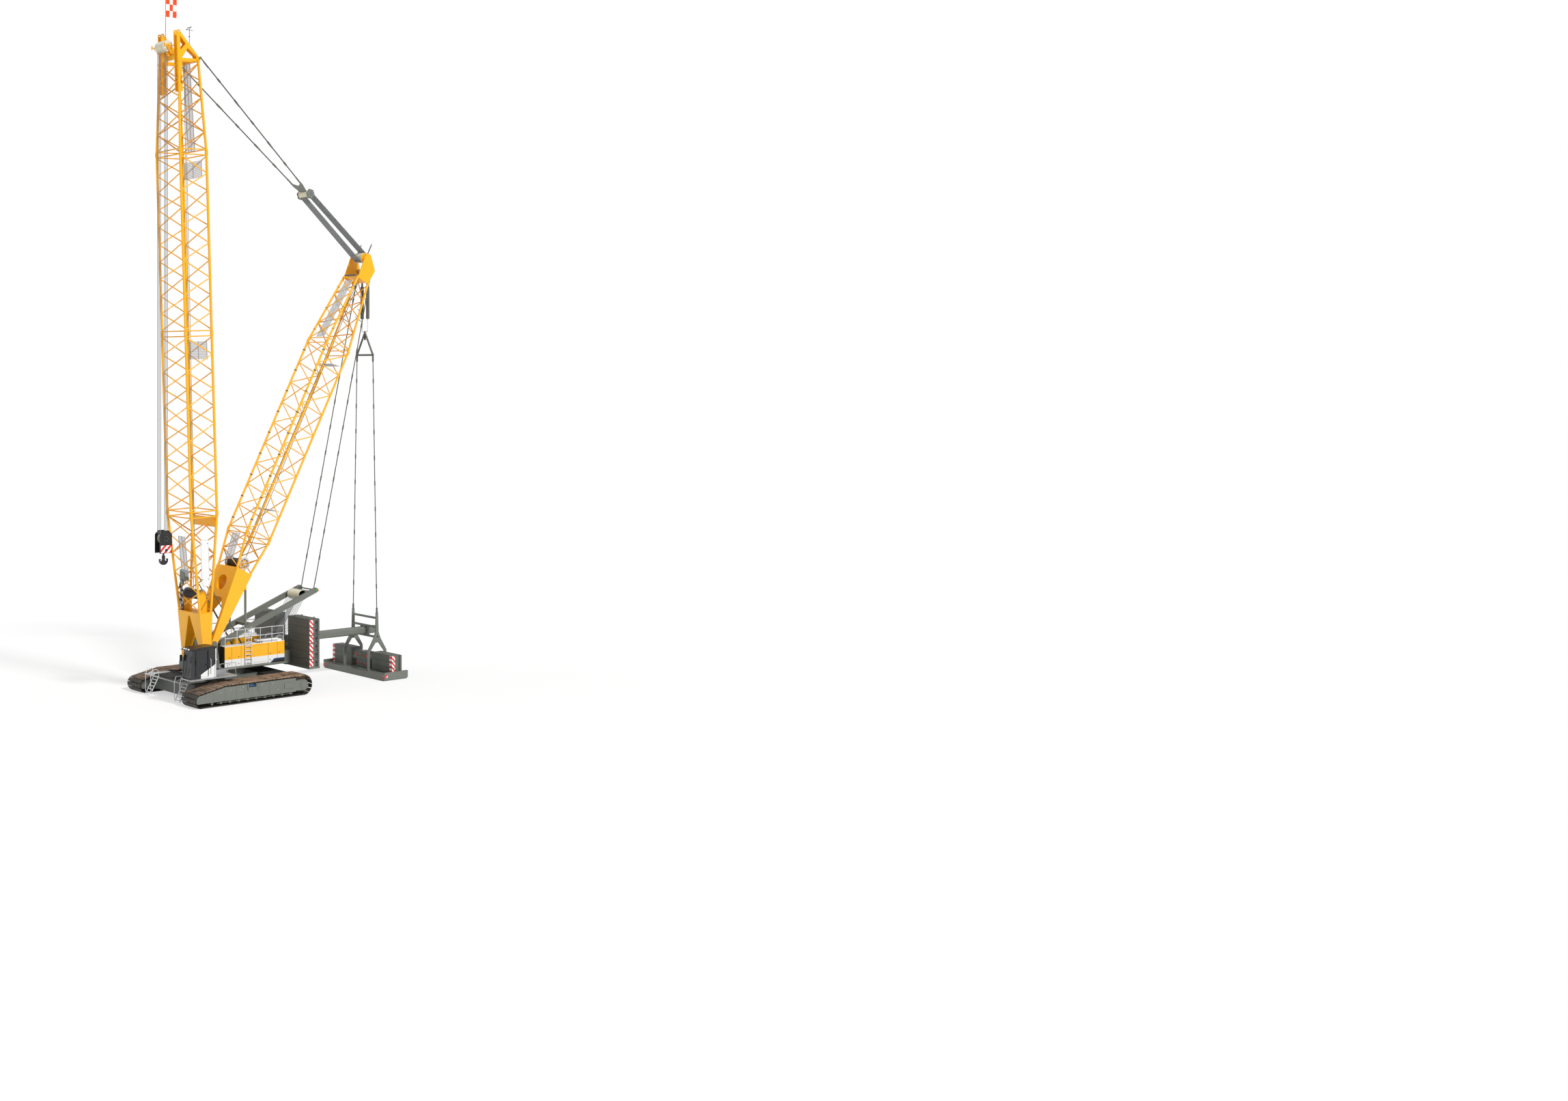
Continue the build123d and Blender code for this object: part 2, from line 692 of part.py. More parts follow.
cab_mid_x = (cab_inner_x + cab_outer_x) / 2
front_glass_half = (cab_outer_x - cab_inner_x) / 2 - 45
front_glass_bottom = cab_bottom + 130
front_glass_top = cab_top - 150
with BuildPart() as cab_shell:
    with BuildSketch(Plane.YZ.offset(cab_inner_x)):
        add(cab_profile(0))
    extrude(amount=cab_outer_x - cab_inner_x)
    with BuildSketch(Plane.YZ.offset(cab_inner_x + cab_wall)):
        add(cab_profile(cab_wall))
    extrude(amount=cab_outer_x - cab_inner_x - 2 * cab_wall, mode=Mode.SUBTRACT)
    with Locations((cab_mid_x, cab_front_y + cab_rake, (front_glass_bottom + front_glass_top) / 2)):
        Box(2 * front_glass_half, 4 * cab_rake, front_glass_top - front_glass_bottom, mode=Mode.SUBTRACT)
    door_centre = (cab_door_front_y + cab_door_rear_y) / 2, (cab_door_bottom + cab_door_top) / 2
    with BuildSketch(Plane.YZ.offset(cab_outer_x - cab_wall)):
        with Locations(door_centre):
            Rectangle(cab_door_rear_y - cab_door_front_y, cab_door_top - cab_door_bottom)
    extrude(amount=cab_wall, mode=Mode.SUBTRACT)
    with BuildSketch(Plane.YZ.offset(cab_inner_x)):
        with Locations((-1750, 1480)):
            RectangleRounded(520, 480, 40)
    extrude(amount=cab_wall, mode=Mode.SUBTRACT)
cab_shell.part.label = "cab_shell"
export_step(cab_shell.part.moved(datum), "parts/cab_shell.step")

with BuildPart() as cab_glass:
    with BuildSketch(Plane.YZ.offset(cab_mid_x - front_glass_half)):
        with BuildLine():
            Polyline(
                (front_y_at(front_glass_bottom) + 6, front_glass_bottom),
                (front_y_at(front_glass_top) + 6, front_glass_top),
                (front_y_at(front_glass_top) + 6 + glass_thickness, front_glass_top),
                (front_y_at(front_glass_bottom) + 6 + glass_thickness, front_glass_bottom),
                close=True,
            )
        make_face()
    extrude(amount=2 * front_glass_half)
    with BuildSketch(Plane.YZ.offset(cab_inner_x + 6)):
        with Locations((-1750, 1480)):
            RectangleRounded(520, 480, 40)
    extrude(amount=glass_thickness)
cab_glass.part.label = "cab_glass"
export_step(cab_glass.part.moved(datum), "parts/cab_glass.step")

pane_frame = 40
with BuildPart() as cab_door:
    with BuildSketch(Plane.YZ.offset(cab_outer_x - cab_wall)):
        with Locations(door_centre):
            Rectangle(
                cab_door_rear_y - cab_door_front_y - 2 * running_gap,
                cab_door_top - cab_door_bottom - 2 * running_gap,
            )
        with BuildLine():
            Polyline(
                (cab_door_front_y + pane_frame, cab_door_bottom + pane_frame),
                (cab_door_front_y + pane_frame, cab_door_top - pane_frame),
                (cab_door_rear_y - pane_frame, cab_door_top - pane_frame),
                (cab_door_rear_y - pane_frame, cab_door_bottom + 260),
                close=True,
            )
        make_face(mode=Mode.SUBTRACT)
    extrude(amount=cab_wall)
    with BuildSketch(Plane.YZ.offset(cab_outer_x)):
        with Locations((cab_door_front_y + 26, 1400)):
            Rectangle(14, 160)
    extrude(amount=24)
cab_door.part.label = "cab_door"
export_step(cab_door.part.moved(datum), "parts/cab_door.step")

with BuildPart() as cab_door_glass:
    with BuildSketch(Plane.YZ.offset(cab_outer_x - cab_wall / 2 - glass_thickness / 2)):
        with BuildLine():
            Polyline(
                (cab_door_front_y + pane_frame, cab_door_bottom + pane_frame),
                (cab_door_front_y + pane_frame, cab_door_top - pane_frame),
                (cab_door_rear_y - pane_frame, cab_door_top - pane_frame),
                (cab_door_rear_y - pane_frame, cab_door_bottom + 260),
                close=True,
            )
        make_face()
    extrude(amount=glass_thickness)
cab_door_glass.part.label = "cab_door_glass"
export_step(cab_door_glass.part.moved(datum), "parts/cab_door_glass.step")

seat_floor = cab_bottom + cab_wall
with BuildPart() as cab_seat:
    with Locations((cab_mid_x, -1480, seat_floor + 90)):
        Box(180, 180, 180)
    with Locations((cab_mid_x, -1500, seat_floor + 210)):
        Box(260, 270, 60)
    with BuildSketch(Plane.YZ.offset(cab_mid_x - 120)):
        with BuildLine():
            Polyline(
                (-1400, seat_floor + 200),
                (-1340, seat_floor + 600),
                (-1300, seat_floor + 600),
                (-1340, seat_floor + 200),
                close=True,
            )
        make_face()
    extrude(amount=240)
    with Locations((cab_mid_x - 165, -1540, seat_floor + 165), (cab_mid_x + 165, -1540, seat_floor + 165)):
        Box(50, 240, 330)
cab_seat.part.label = "cab_seat"
export_step(cab_seat.part.moved(datum), "parts/cab_seat.step")

platform_rear_y = -420
platform_outer_x = cab_outer_x + 80
with BuildPart() as cab_platform:
    platform_mid = ((cab_inner_x - 30 + platform_outer_x) / 2, (cab_front_y - 40 + platform_rear_y) / 2)
    with Locations((*platform_mid, cab_bottom - 20)):
        Box(platform_outer_x - cab_inner_x + 30, platform_rear_y - cab_front_y + 40, 40)
    arm_start = boom_lug_outer + lug_thickness
    with Locations(*[((arm_start + cab_inner_x) / 2, y, cab_bottom + 75) for y in (-1000, -520)]):
        Box(cab_inner_x - arm_start, 140, 90)
    with Locations((cab_inner_x - 15, -760, cab_bottom + 60)):
        Box(30, 620, 120)
    rail_x = platform_outer_x - 20
    posts = [((rail_x, y, cab_bottom), (rail_x, y, cab_bottom + 420)) for y in (-1100, -780, -460)]
    runs = [((rail_x, -1100, cab_bottom + h), (rail_x, -460, cab_bottom + h)) for h in (210, 415)]
    add(bars(posts + runs, rail_r, tube_sides))
cab_platform.part.label = "cab_platform"
export_step(cab_platform.part.moved(datum), "parts/cab_platform.step")


# ==== main boom, along its own axis ====
boom_box_half_width = boom_leg_outer_x
winch_along = 2150
boom_cheek_x = 460
boom_drum_half = boom_cheek_x - 15 - running_gap
with BuildPart() as boom_foot:
    with BuildSketch(Plane.YZ.offset(-boom_box_half_width)):
        RegularPolygon(boom_eye_r, drum_sides)
        with Locations((0, boom_box_top - 10)):
            Rectangle(2 * boom_box_half_depth, 20)
        make_hull()
    extrude(amount=2 * boom_box_half_width)
    with BuildSketch(Plane.XZ):
        with BuildLine():
            Polyline(
                (-boom_leg_inner_x, -2 * boom_eye_r),
                (-boom_leg_inner_x, 250),
                (-40, boom_box_top - 130),
                (40, boom_box_top - 130),
                (boom_leg_inner_x, 250),
                (boom_leg_inner_x, -2 * boom_eye_r),
                close=True,
            )
        make_face()
    extrude(amount=2 * boom_box_half_depth, both=True, mode=Mode.SUBTRACT)
    add(
        side_pins(
            both_sides(boom_leg_inner_x - 10, boom_leg_outer_x + 10),
            (0, 0),
            boom_pin_r + boom_pin_gap,
            bore=True,
        ),
        mode=Mode.SUBTRACT,
    )
    foot_chords = chord_lines(
        (boom_box_top - 60, boom_box_half_width - 45, -boom_box_half_depth + 45, boom_box_half_depth - 45),
        (boom_foot_length, boom_half_width, -boom_half_depth, boom_half_depth),
    )
    foot_lacing = zigzag_lines(foot_chords, 5, 0.03) + ring_lines(foot_chords, 0.97)
    add(bars(foot_chords, boom_chord_r, chord_sides) + bars(foot_lacing, boom_lace_r, tube_sides))
    add(bars(collar_lines(foot_chords, 90, (1,)), boom_chord_r * 1.35, chord_sides))
    with Locations((0, boom_half_depth - 70, boom_foot_length - 300)):
        Box(2 * boom_half_width - 60, 30, 320)
    for sign in (-1, 1):
        with BuildSketch(Plane.YZ.offset(sign * boom_cheek_x - 15)):
            with Locations((0, winch_along)):
                RegularPolygon(150, drum_sides)
            with Locations((0, boom_box_top + 5)):
                Rectangle(360, 20)
            make_hull()
        extrude(amount=30)
    add(side_pins(both_sides(380, boom_cheek_x), (0, winch_along), stub_r))
    with Locations((0, 0, boom_foot_length + 100)):
        Box(2000, 2000, 200, mode=Mode.SUBTRACT)
boom_foot.part.label = "boom_foot"
export_step(boom_foot.part.moved(boom_place), "parts/boom_foot.step")

with BuildPart() as boom_winch_drum:
    add(side_pins(((-boom_drum_half, boom_drum_half),), (0, winch_along), 140, drum_sides))
    add(side_pins(both_sides(boom_drum_half - 24, boom_drum_half), (0, winch_along), 195, drum_sides))
    add(side_pins(both_sides(370, 450), (0, winch_along), stub_r + seat_gap, bore=True), mode=Mode.SUBTRACT)
boom_winch_drum.part.label = "boom_winch_drum"
export_step(boom_winch_drum.part.moved(boom_place), "parts/boom_winch_drum.step")

for number in (1, 2):
    low = boom_foot_length + (number - 1) * boom_section_length
    with BuildPart() as boom_section:
        chords = chord_lines(
            (low, boom_half_width, -boom_half_depth, boom_half_depth),
            (low + boom_section_length, boom_half_width, -boom_half_depth, boom_half_depth),
        )
        lacing = zigzag_lines(chords, 10, 0.02) + ring_lines(chords, 0.015) + ring_lines(chords, 0.985)
        add(bars(chords, boom_chord_r, chord_sides) + bars(lacing, boom_lace_r, tube_sides))
        add(bars(collar_lines(chords, 90), boom_chord_r * 1.35, chord_sides))
    boom_section.part.label = f"boom_section_{number}"
    export_step(boom_section.part.moved(boom_place), f"parts/boom_section_{number}.step")

head_low = boom_foot_length + 2 * boom_section_length
head_top = head_low + boom_head_length
cheek_inner_x = head_half_width - head_cheek_width
cheek_low = head_top - 1010
front_face = -head_half_depth - boom_chord_r
back_face = head_half_depth + boom_chord_r
jib_lug = (front_face + 65, head_top + head_height - 60)
axle = (head_sheave_out, head_sheave_along)
outer_plates = both_sides(head_half_width - head_plate, head_half_width)
inner_plates = both_sides(cheek_inner_x, cheek_inner_x + head_plate)
guard_x = cheek_inner_x + head_plate / 2
guard_y = head_sheave_out - head_sheave_r - 20
guard_r = 18
with BuildPart() as boom_head:
    chords = chord_lines(
        (head_low, boom_half_width, -boom_half_depth, boom_half_depth),
        (head_top + 40, head_half_width, -head_half_depth, head_half_depth),
    )
    lacing = zigzag_lines(chords, 5, 0.03) + ring_lines(chords, 0.03)
    add(bars(chords, boom_chord_r, chord_sides) + bars(lacing, boom_lace_r, tube_sides))
    add(bars(collar_lines(chords, 90, (0,)), boom_chord_r * 1.35, chord_sides))
    with Locations((0, 0, head_low - 100)):
        Box(2000, 2000, 200, mode=Mode.SUBTRACT)
    for low, high in outer_plates + inner_plates:
        with BuildSketch(Plane.YZ.offset(low)):
            with BuildLine():
                Polyline(
                    (front_face, cheek_low),
                    (front_face, head_top + head_height - 90),
                    (front_face + 120, head_top + head_height - 60),
                    (back_face, head_top + 150),
                    (back_face, head_top),
                    (front_face + 160, head_top),
                    (front_face + 160, cheek_low),
                    close=True,
                )
            make_face()
            with Locations(jib_lug):
                RegularPolygon(jib_lug_r, pin_sides)
                Circle(jib_bore_r, mode=Mode.SUBTRACT)
            with BuildLine():
                Polyline(
                    (front_face + 110, head_top + head_height - 190),
                    (front_face + 110, head_top + 330),
                    (front_face + 330, head_top + 560),
                    close=True,
                )
            make_face(mode=Mode.SUBTRACT)
            with BuildLine():
                Polyline(
                    (front_face + 170, head_top + 90),
                    (front_face + 400, head_top + 430),
                    (back_face - 130, head_top + 200),
                    (back_face - 90, head_top + 90),
                    close=True,
                )
            make_face(mode=Mode.SUBTRACT)
        extrude(amount=high - low)
    for low, high in both_sides(cheek_inner_x + head_plate, head_half_width - head_plate):
        with BuildSketch(Plane.YZ.offset(low)):
            with Locations((front_face + 75, (cheek_low + head_top + head_height - 260) / 2)):
                Rectangle(30, head_top + head_height - 260 - cheek_low)
            with BuildLine():
                Polyline(
                    (front_face + 130, head_top + head_height - 130),
                    (back_face - 30, head_top + 160),
                    (back_face - 52, head_top + 142),
                    (front_face + 108, head_top + head_height - 148),
                    close=True,
                )
            make_face()
            with Locations((back_face - 15, head_top + 75)):
                Rectangle(30, 150)
        extrude(amount=high - low)
    with Locations((0, front_face + 45, head_top + 130), (0, back_face - 45, head_top + 70)):
        Box(2 * cheek_inner_x, 90, 140)
    add(side_pins(((-330, 330),), axle, head_axle_r))
    bracket_spans = both_sides(130, 144) + both_sides(285, 305)
    add(lug_plates(bracket_spans, axle, 70, (front_face, front_face + 60), head_top + 190))
    stay_spans = both_sides(head_half_width + 10, head_half_width + 40)
    stay_base = (back_face - 80, back_face)
    add(lug_plates(stay_spans, (stay_lug_out, stay_lug_along), 45, stay_base, head_top + 60))
    boss_spans = both_sides(head_half_width - 5, head_half_width + 12)
    add(side_pins(boss_spans, (stay_lug_out - 60, stay_lug_along - 20), 60))
    for x in (-guard_x, guard_x):
        root = (x, front_face + 10, head_sheave_along)
        tip = (x, guard_y, head_sheave_along)
        brace = ((x, front_face + 10, head_sheave_along - 330), (x, guard_y + 60, head_sheave_along))
        add(bars([(root, tip), brace], guard_r, tube_sides))
        with Locations(tip):
            Box(60, 16, 130)
boom_head.part.label = "boom_head"
export_step(boom_head.part.moved(boom_place), "parts/boom_head.step")

with BuildPart() as head_sheaves:
    groups = ((-275, -152), (-122, 122), (152, 275))
    add(side_pins(groups, axle, head_sheave_r, drum_sides))
    add(side_pins(((-280, 280),), axle, head_axle_r + seat_gap, bore=True), mode=Mode.SUBTRACT)
head_sheaves.part.label = "head_sheaves"
export_step(head_sheaves.part.moved(boom_place), "parts/head_sheaves.step")


# ==== boom suspension, between the boom head and the derrick head ====
suspension_run = derrick_axle_centre - stay_lug_centre
suspension_length = suspension_run.length
suspension_axes = Plane(
    origin=stay_lug_centre,
    x_dir=(1, 0, 0),
    z_dir=suspension_run,
)
suspension_place = datum * suspension_axes.location
stay_outer_x = head_half_width + 68
stay_inner_x = 240
yoke_along = 5900
block_along = 6350
rope_r = 8
derrick_sheave_r = 170
stay_plate_r = 42
with BuildPart() as boom_stays:
    for sign in (-1, 1):
        stay = ((sign * stay_outer_x, 0, 0), (sign * stay_inner_x, 0, yoke_along))
        add(bars([stay], 18, tube_sides))
        for share in (0.03, 0.33, 0.66, 0.95):
            add(bars([(point_between(stay, share), point_between(stay, share + 0.045))], 32, tube_sides))
        with BuildSketch(Plane.YZ.offset(sign * stay_outer_x - 12)):
            RegularPolygon(stay_plate_r, pin_sides)
        extrude(amount=24)
    with BuildSketch(Plane.XZ.offset(-16)):
        with BuildLine():
            Polyline(
                (-stay_inner_x - 40, yoke_along - 60),
                (-stay_inner_x - 40, yoke_along + 60),
                (-150, block_along),
                (150, block_along),
                (stay_inner_x + 40, yoke_along + 60),
                (stay_inner_x + 40, yoke_along - 60),
                (0, yoke_along + 90),
                close=True,
            )
        make_face()
    extrude(amount=32)
    add(side_pins(((-260, 260),), (0, block_along + 60), 130))
boom_stays.part.label = "boom_stays"
export_step(boom_stays.part.moved(suspension_place), "parts/boom_stays.step")

rope_first = block_along + 60 + 130 + running_gap
rope_last = suspension_length - derrick_sheave_r - running_gap
with BuildPart() as tackle_ropes:
    strands = [((x, y, rope_first), (x, y, rope_last)) for x in range(-210, 211, 84) for y in (-90, 90)]
    add(bars(strands, rope_r, tube_sides))
tackle_ropes.part.label = "tackle_ropes"
export_step(tackle_ropes.part.moved(suspension_place), "parts/tackle_ropes.step")


# ==== derrick, along its own axis ====
derrick_winch_along = 2888
derrick_cheek_x = 400
derrick_drum_half = derrick_cheek_x - 15 - running_gap
prop_y = 750
prop_top_z = 3740
prop_foot_z = 2245
foot_top = derrick_foot_length
with BuildPart() as derrick_foot:
    with BuildSketch(Plane.YZ.offset(-derrick_leg_outer_x)):
        RegularPolygon(derrick_eye_r, drum_sides)
        with Locations((0, derrick_box_top - 10)):
            Rectangle(2 * derrick_box_half_depth, 20)
        make_hull()
    extrude(amount=2 * derrick_leg_outer_x)
    with BuildSketch(Plane.XZ):
        with BuildLine():
            Polyline(
                (-derrick_leg_inner_x, -2 * derrick_eye_r),
                (-derrick_leg_inner_x, 1150),
                (-derrick_leg_inner_x + 200, 1550),
                (derrick_leg_inner_x - 200, 1550),
                (derrick_leg_inner_x, 1150),
                (derrick_leg_inner_x, -2 * derrick_eye_r),
                close=True,
            )
        make_face()
        with Locations((0, 2050)):
            RegularPolygon(270, drum_sides)
    extrude(amount=2 * derrick_box_half_depth, both=True, mode=Mode.SUBTRACT)
    add(
        side_pins(
            both_sides(derrick_leg_inner_x - 10, derrick_leg_outer_x + 10),
            (0, 0),
            derrick_pin_r + seat_gap,
            bore=True,
        ),
        mode=Mode.SUBTRACT,
    )
    chords = chord_lines(
        (derrick_box_top - 60, derrick_half_width, 40 - derrick_box_half_depth, derrick_box_half_depth - 40),
        (foot_top, derrick_half_width, -derrick_half_depth, derrick_half_depth),
    )
    lacing = zigzag_lines(chords, 2, 0.08) + ring_lines(chords, 0.94)
    add(bars(chords, derrick_chord_r, chord_sides) + bars(lacing, derrick_lace_r, tube_sides))
    add(bars(collar_lines(chords, 80, (1,)), derrick_chord_r * 1.35, chord_sides))
    for sign in (-1, 1):
        with BuildSketch(Plane.YZ.offset(sign * derrick_cheek_x - 15)):
            with Locations((0, derrick_winch_along)):
                RegularPolygon(120, drum_sides)
            with Locations((0, derrick_box_top + 5)):
                Rectangle(300, 20)
            make_hull()
        extrude(amount=30)
    add(side_pins(both_sides(320, derrick_cheek_x), (0, derrick_winch_along), stub_r))
    with Locations((0, 0, foot_top + 100)):
        Box(2000, 2000, 200, mode=Mode.SUBTRACT)
    prop_top = derrick_axes.to_local_coords(Vector(0, prop_y, prop_top_z))
    prop_foot = derrick_axes.to_local_coords(Vector(0, prop_y, prop_foot_z))
    props = [((x, prop_foot.Y, prop_foot.Z), (x, prop_top.Y, prop_top.Z)) for x in (-aframe_x, aframe_x)]
    add(bars(props, 45, chord_sides))
derrick_foot.part.label = "derrick_foot"
export_step(derrick_foot.part.moved(derrick_place), "parts/derrick_foot.step")

with BuildPart() as derrick_winch_drum:
    drum_centre = (0, derrick_winch_along)
    add(side_pins(((-derrick_drum_half, derrick_drum_half),), drum_centre, 130, drum_sides))
    add(side_pins(both_sides(derrick_drum_half - 24, derrick_drum_half), drum_centre, 185, drum_sides))
    add(side_pins(both_sides(310, 390), drum_centre, stub_r + seat_gap, bore=True), mode=Mode.SUBTRACT)
derrick_winch_drum.part.label = "derrick_winch_drum"
export_step(derrick_winch_drum.part.moved(derrick_place), "parts/derrick_winch_drum.step")

middle_top = foot_top + derrick_middle_length
with BuildPart() as derrick_middle:
    chords = chord_lines(
        (foot_top, derrick_half_width, -derrick_half_depth, derrick_half_depth),
        (middle_top, derrick_half_width, -derrick_half_depth, derrick_half_depth),
    )
    lacing = zigzag_lines(chords, 9, 0.015)
    for k in range(10):
        rungs = ring_lines(chords, 0.015 + 0.97 * k / 9)
        lacing += rungs if k in (0, 9) else rungs[::2]
    add(bars(chords, derrick_chord_r, chord_sides) + bars(lacing, derrick_lace_r, tube_sides))
    add(bars(collar_lines(chords, 80), derrick_chord_r * 1.35, chord_sides))
derrick_middle.part.label = "derrick_middle"
export_step(derrick_middle.part.moved(derrick_place), "parts/derrick_middle.step")

plates_low = middle_top + derrick_head_lattice
derrick_axle = (derrick_axle_out, derrick_length)
derrick_lug = (derrick_lug_out, derrick_lug_along)
with BuildPart() as derrick_head:
    chords = chord_lines(
        (middle_top, derrick_half_width, -derrick_half_depth, derrick_half_depth),
        (plates_low + 60, derrick_head_half_width - 20, -derrick_head_half_depth, derrick_head_half_depth),
    )
    lacing = zigzag_lines(chords, 4, 0.04) + ring_lines(chords, 0.03)
    add(bars(chords, derrick_chord_r, chord_sides) + bars(lacing, derrick_lace_r, tube_sides))
    add(bars(collar_lines(chords, 80, (0,)), derrick_chord_r * 1.35, chord_sides))
    with Locations((0, 0, middle_top - 100)):
        Box(2000, 2000, 200, mode=Mode.SUBTRACT)
    for low, high in both_sides(derrick_head_half_width - 40, derrick_head_half_width):
        with BuildSketch(Plane.YZ.offset(low)):
            with Locations(derrick_axle):
                RegularPolygon(140, pin_sides)
            with Locations(derrick_lug):
                RegularPolygon(110, pin_sides)
            with Locations((0, plates_low + 10)):
                Rectangle(2 * derrick_head_half_depth, 20)
            make_hull()
        extrude(amount=high - low)
    with Locations((0, 0, plates_low + 60)):
        Box(2 * derrick_head_half_width - 80, 2 * derrick_head_half_depth - 60, 40)
    head_span = derrick_head_half_width - 40
    add(side_pins(((-head_span, head_span),), derrick_axle, 40))
    add(side_pins(((-260, 260),), derrick_axle, derrick_sheave_r, drum_sides))
    add(side_pins(((-head_span, head_span),), derrick_lug, derrick_lug_pin_r))
    post_top = derrick_length + 560
    posts = [((x, derrick_axle_out, derrick_length), (x, derrick_axle_out, post_top)) for x in (-300, 300)]
    add(bars(posts, 14, tube_sides))
derrick_head.part.label = "derrick_head"
export_step(derrick_head.part.moved(derrick_place), "parts/derrick_head.step")


# ==== A-frame and its stays to the derrick head ====
aframe_foot = (aframe_y, aframe_z)
aframe_head = (aframe_head_y, aframe_head_z)
aframe_slope = degrees(atan2(aframe_head_z - aframe_z, aframe_head_y - aframe_y))
aframe_length = hypot(aframe_head_z - aframe_z, aframe_head_y - aframe_y)
aframe_roller_r = 170
roller_along = aframe_length - 480
roller_y = aframe_y + roller_along * cos(radians(aframe_slope))
roller_z = aframe_z + roller_along * sin(radians(aframe_slope))
aframe_place = datum * Location((0, aframe_y, aframe_z), (aframe_slope, 0, 0))
with BuildPart() as a_frame:
    for low, high in both_sides(aframe_x - aframe_beam_width / 2, aframe_x + aframe_beam_width / 2):
        with BuildSketch(Plane.YZ.offset(low)):
            with Locations((aframe_length / 2, 0)):
                Rectangle(aframe_length, aframe_beam_depth)
            with Locations((0, 0), (aframe_length, 0)):
                RegularPolygon(aframe_beam_depth / 2, pin_sides)
            RegularPolygon(stub_r + seat_gap, pin_sides, major_radius=False, mode=Mode.SUBTRACT)
        extrude(amount=high - low)
    beam_inner_x = aframe_x - aframe_beam_width / 2
    with Locations((0, 1350, 0), (0, aframe_length - 250, 0)):
        Box(2 * beam_inner_x, 110, 110)
    add(side_pins(((-beam_inner_x, beam_inner_x),), (roller_along, 0), 40))
    add(side_pins(((-330, 330),), (roller_along, 0), aframe_roller_r, drum_sides))
    add(side_pins(((-beam_inner_x, beam_inner_x),), (aframe_length, 0), aframe_pin_r))
a_frame.part.label = "a_frame"
export_step(a_frame.part.moved(aframe_place), "parts/a_frame.step")

stay_x = derrick_head_half_width - 68
with BuildPart() as derrick_stays:
    for sign in (-1, 1):
        foot = Vector(sign * stay_x, aframe_head_y, aframe_head_z)
        stay = (foot, (sign * stay_x, ballast_lug_centre.Y, ballast_lug_centre.Z))
        add(bars([(point_between(stay, 0.004), point_between(stay, 0.995))], 13, tube_sides))
        for share in (0.0, 0.1, 0.34, 0.62, 0.955):
            socket = (point_between(stay, share + 0.004), point_between(stay, share + 0.035))
            add(bars([socket], 22, tube_sides))
        for end_y, end_z, eye_r, bore_r in (
            (aframe_head_y, aframe_head_z, 62, aframe_pin_r + aframe_pin_gap),
            (ballast_lug_centre.Y, ballast_lug_centre.Z, 75, derrick_lug_pin_r + seat_gap),
        ):
            add(side_pins(((sign * stay_x - 15, sign * stay_x + 15),), (end_y, end_z), eye_r))
            bore_span = (sign * stay_x - 60, sign * stay_x + 60)
            add(side_pins((bore_span,), (end_y, end_z), bore_r, bore=True), mode=Mode.SUBTRACT)
derrick_stays.part.label = "derrick_stays"
export_step(derrick_stays.part.moved(datum), "parts/derrick_stays.step")


rope_drop = Vector(0, winch_y - roller_y, winch_z - roller_z)
drop_run = rope_drop.length
rope_axes = Plane(origin=(0, roller_y, roller_z), x_dir=(1, 0, 0), z_dir=rope_drop)
with BuildPart() as a_frame_ropes:
    near_end = aframe_roller_r * 0.8
    far_end = drop_run - winch_flange_r - 40
    strands = [((x, y, near_end), (x, y, far_end)) for x in range(-280, 281, 80) for y in (-130, 130)]
    add(bars(strands, 8, tube_sides))
a_frame_ropes.part.label = "a_frame_ropes"
export_step(a_frame_ropes.part.moved(datum * rope_axes.location), "parts/a_frame_ropes.step")


# ==== hoist ropes and hook ====
rope_spots = [(x, head_sheave_centre.Y + y) for x in (-105, -35, 35, 105) for y in (-165, 100)]
rope_top = head_sheave_centre.Z - head_sheave_r - running_gap
rope_middle = 9500
block_top = 5600
block_bottom = 4850
block_sheave_z = 5330
rope_low = block_sheave_z + block_sheave_r + running_gap
with BuildPart() as hoist_ropes_upper:
    add(bars([((x, y, rope_middle), (x, y, rope_top)) for x, y in rope_spots], rope_r, tube_sides))
hoist_ropes_upper.part.label = "hoist_ropes_upper"
export_step(hoist_ropes_upper.part.moved(datum), "parts/hoist_ropes_upper.step")

with BuildPart() as hoist_ropes_lower:
    add(bars([((x, y, rope_low), (x, y, rope_middle)) for x, y in rope_spots], rope_r, tube_sides))
hoist_ropes_lower.part.label = "hoist_ropes_lower"
export_step(hoist_ropes_lower.part.moved(datum), "parts/hoist_ropes_lower.step")

hook_y = head_sheave_centre.Y
with BuildPart() as hook_block:
    for low, high in both_sides(135, 165):
        with BuildSketch(Plane.YZ.offset(low)):
            with Locations((hook_y, (block_top + block_bottom) / 2)):
                Rectangle(2 * block_half_length, block_top - block_bottom)
            chamfer(vertices().group_by(Axis.Y)[-1], 130)
        extrude(amount=high - low)
    add(side_pins(((-135, 135),), (hook_y, block_sheave_z), 36))
    for x in (-105, -35, 35, 105):
        add(side_pins(((x - 26, x + 26),), (hook_y, block_sheave_z), block_sheave_r, drum_sides))
    with Locations((0, hook_y, block_bottom + 70)):
        Box(270, 150, 140)
    with Locations((0, hook_y, block_bottom + 10)):
        Cylinder(34, 160, mode=Mode.SUBTRACT)
hook_block.part.label = "hook_block"
export_step(hook_block.part.moved(datum), "parts/hook_block.step")

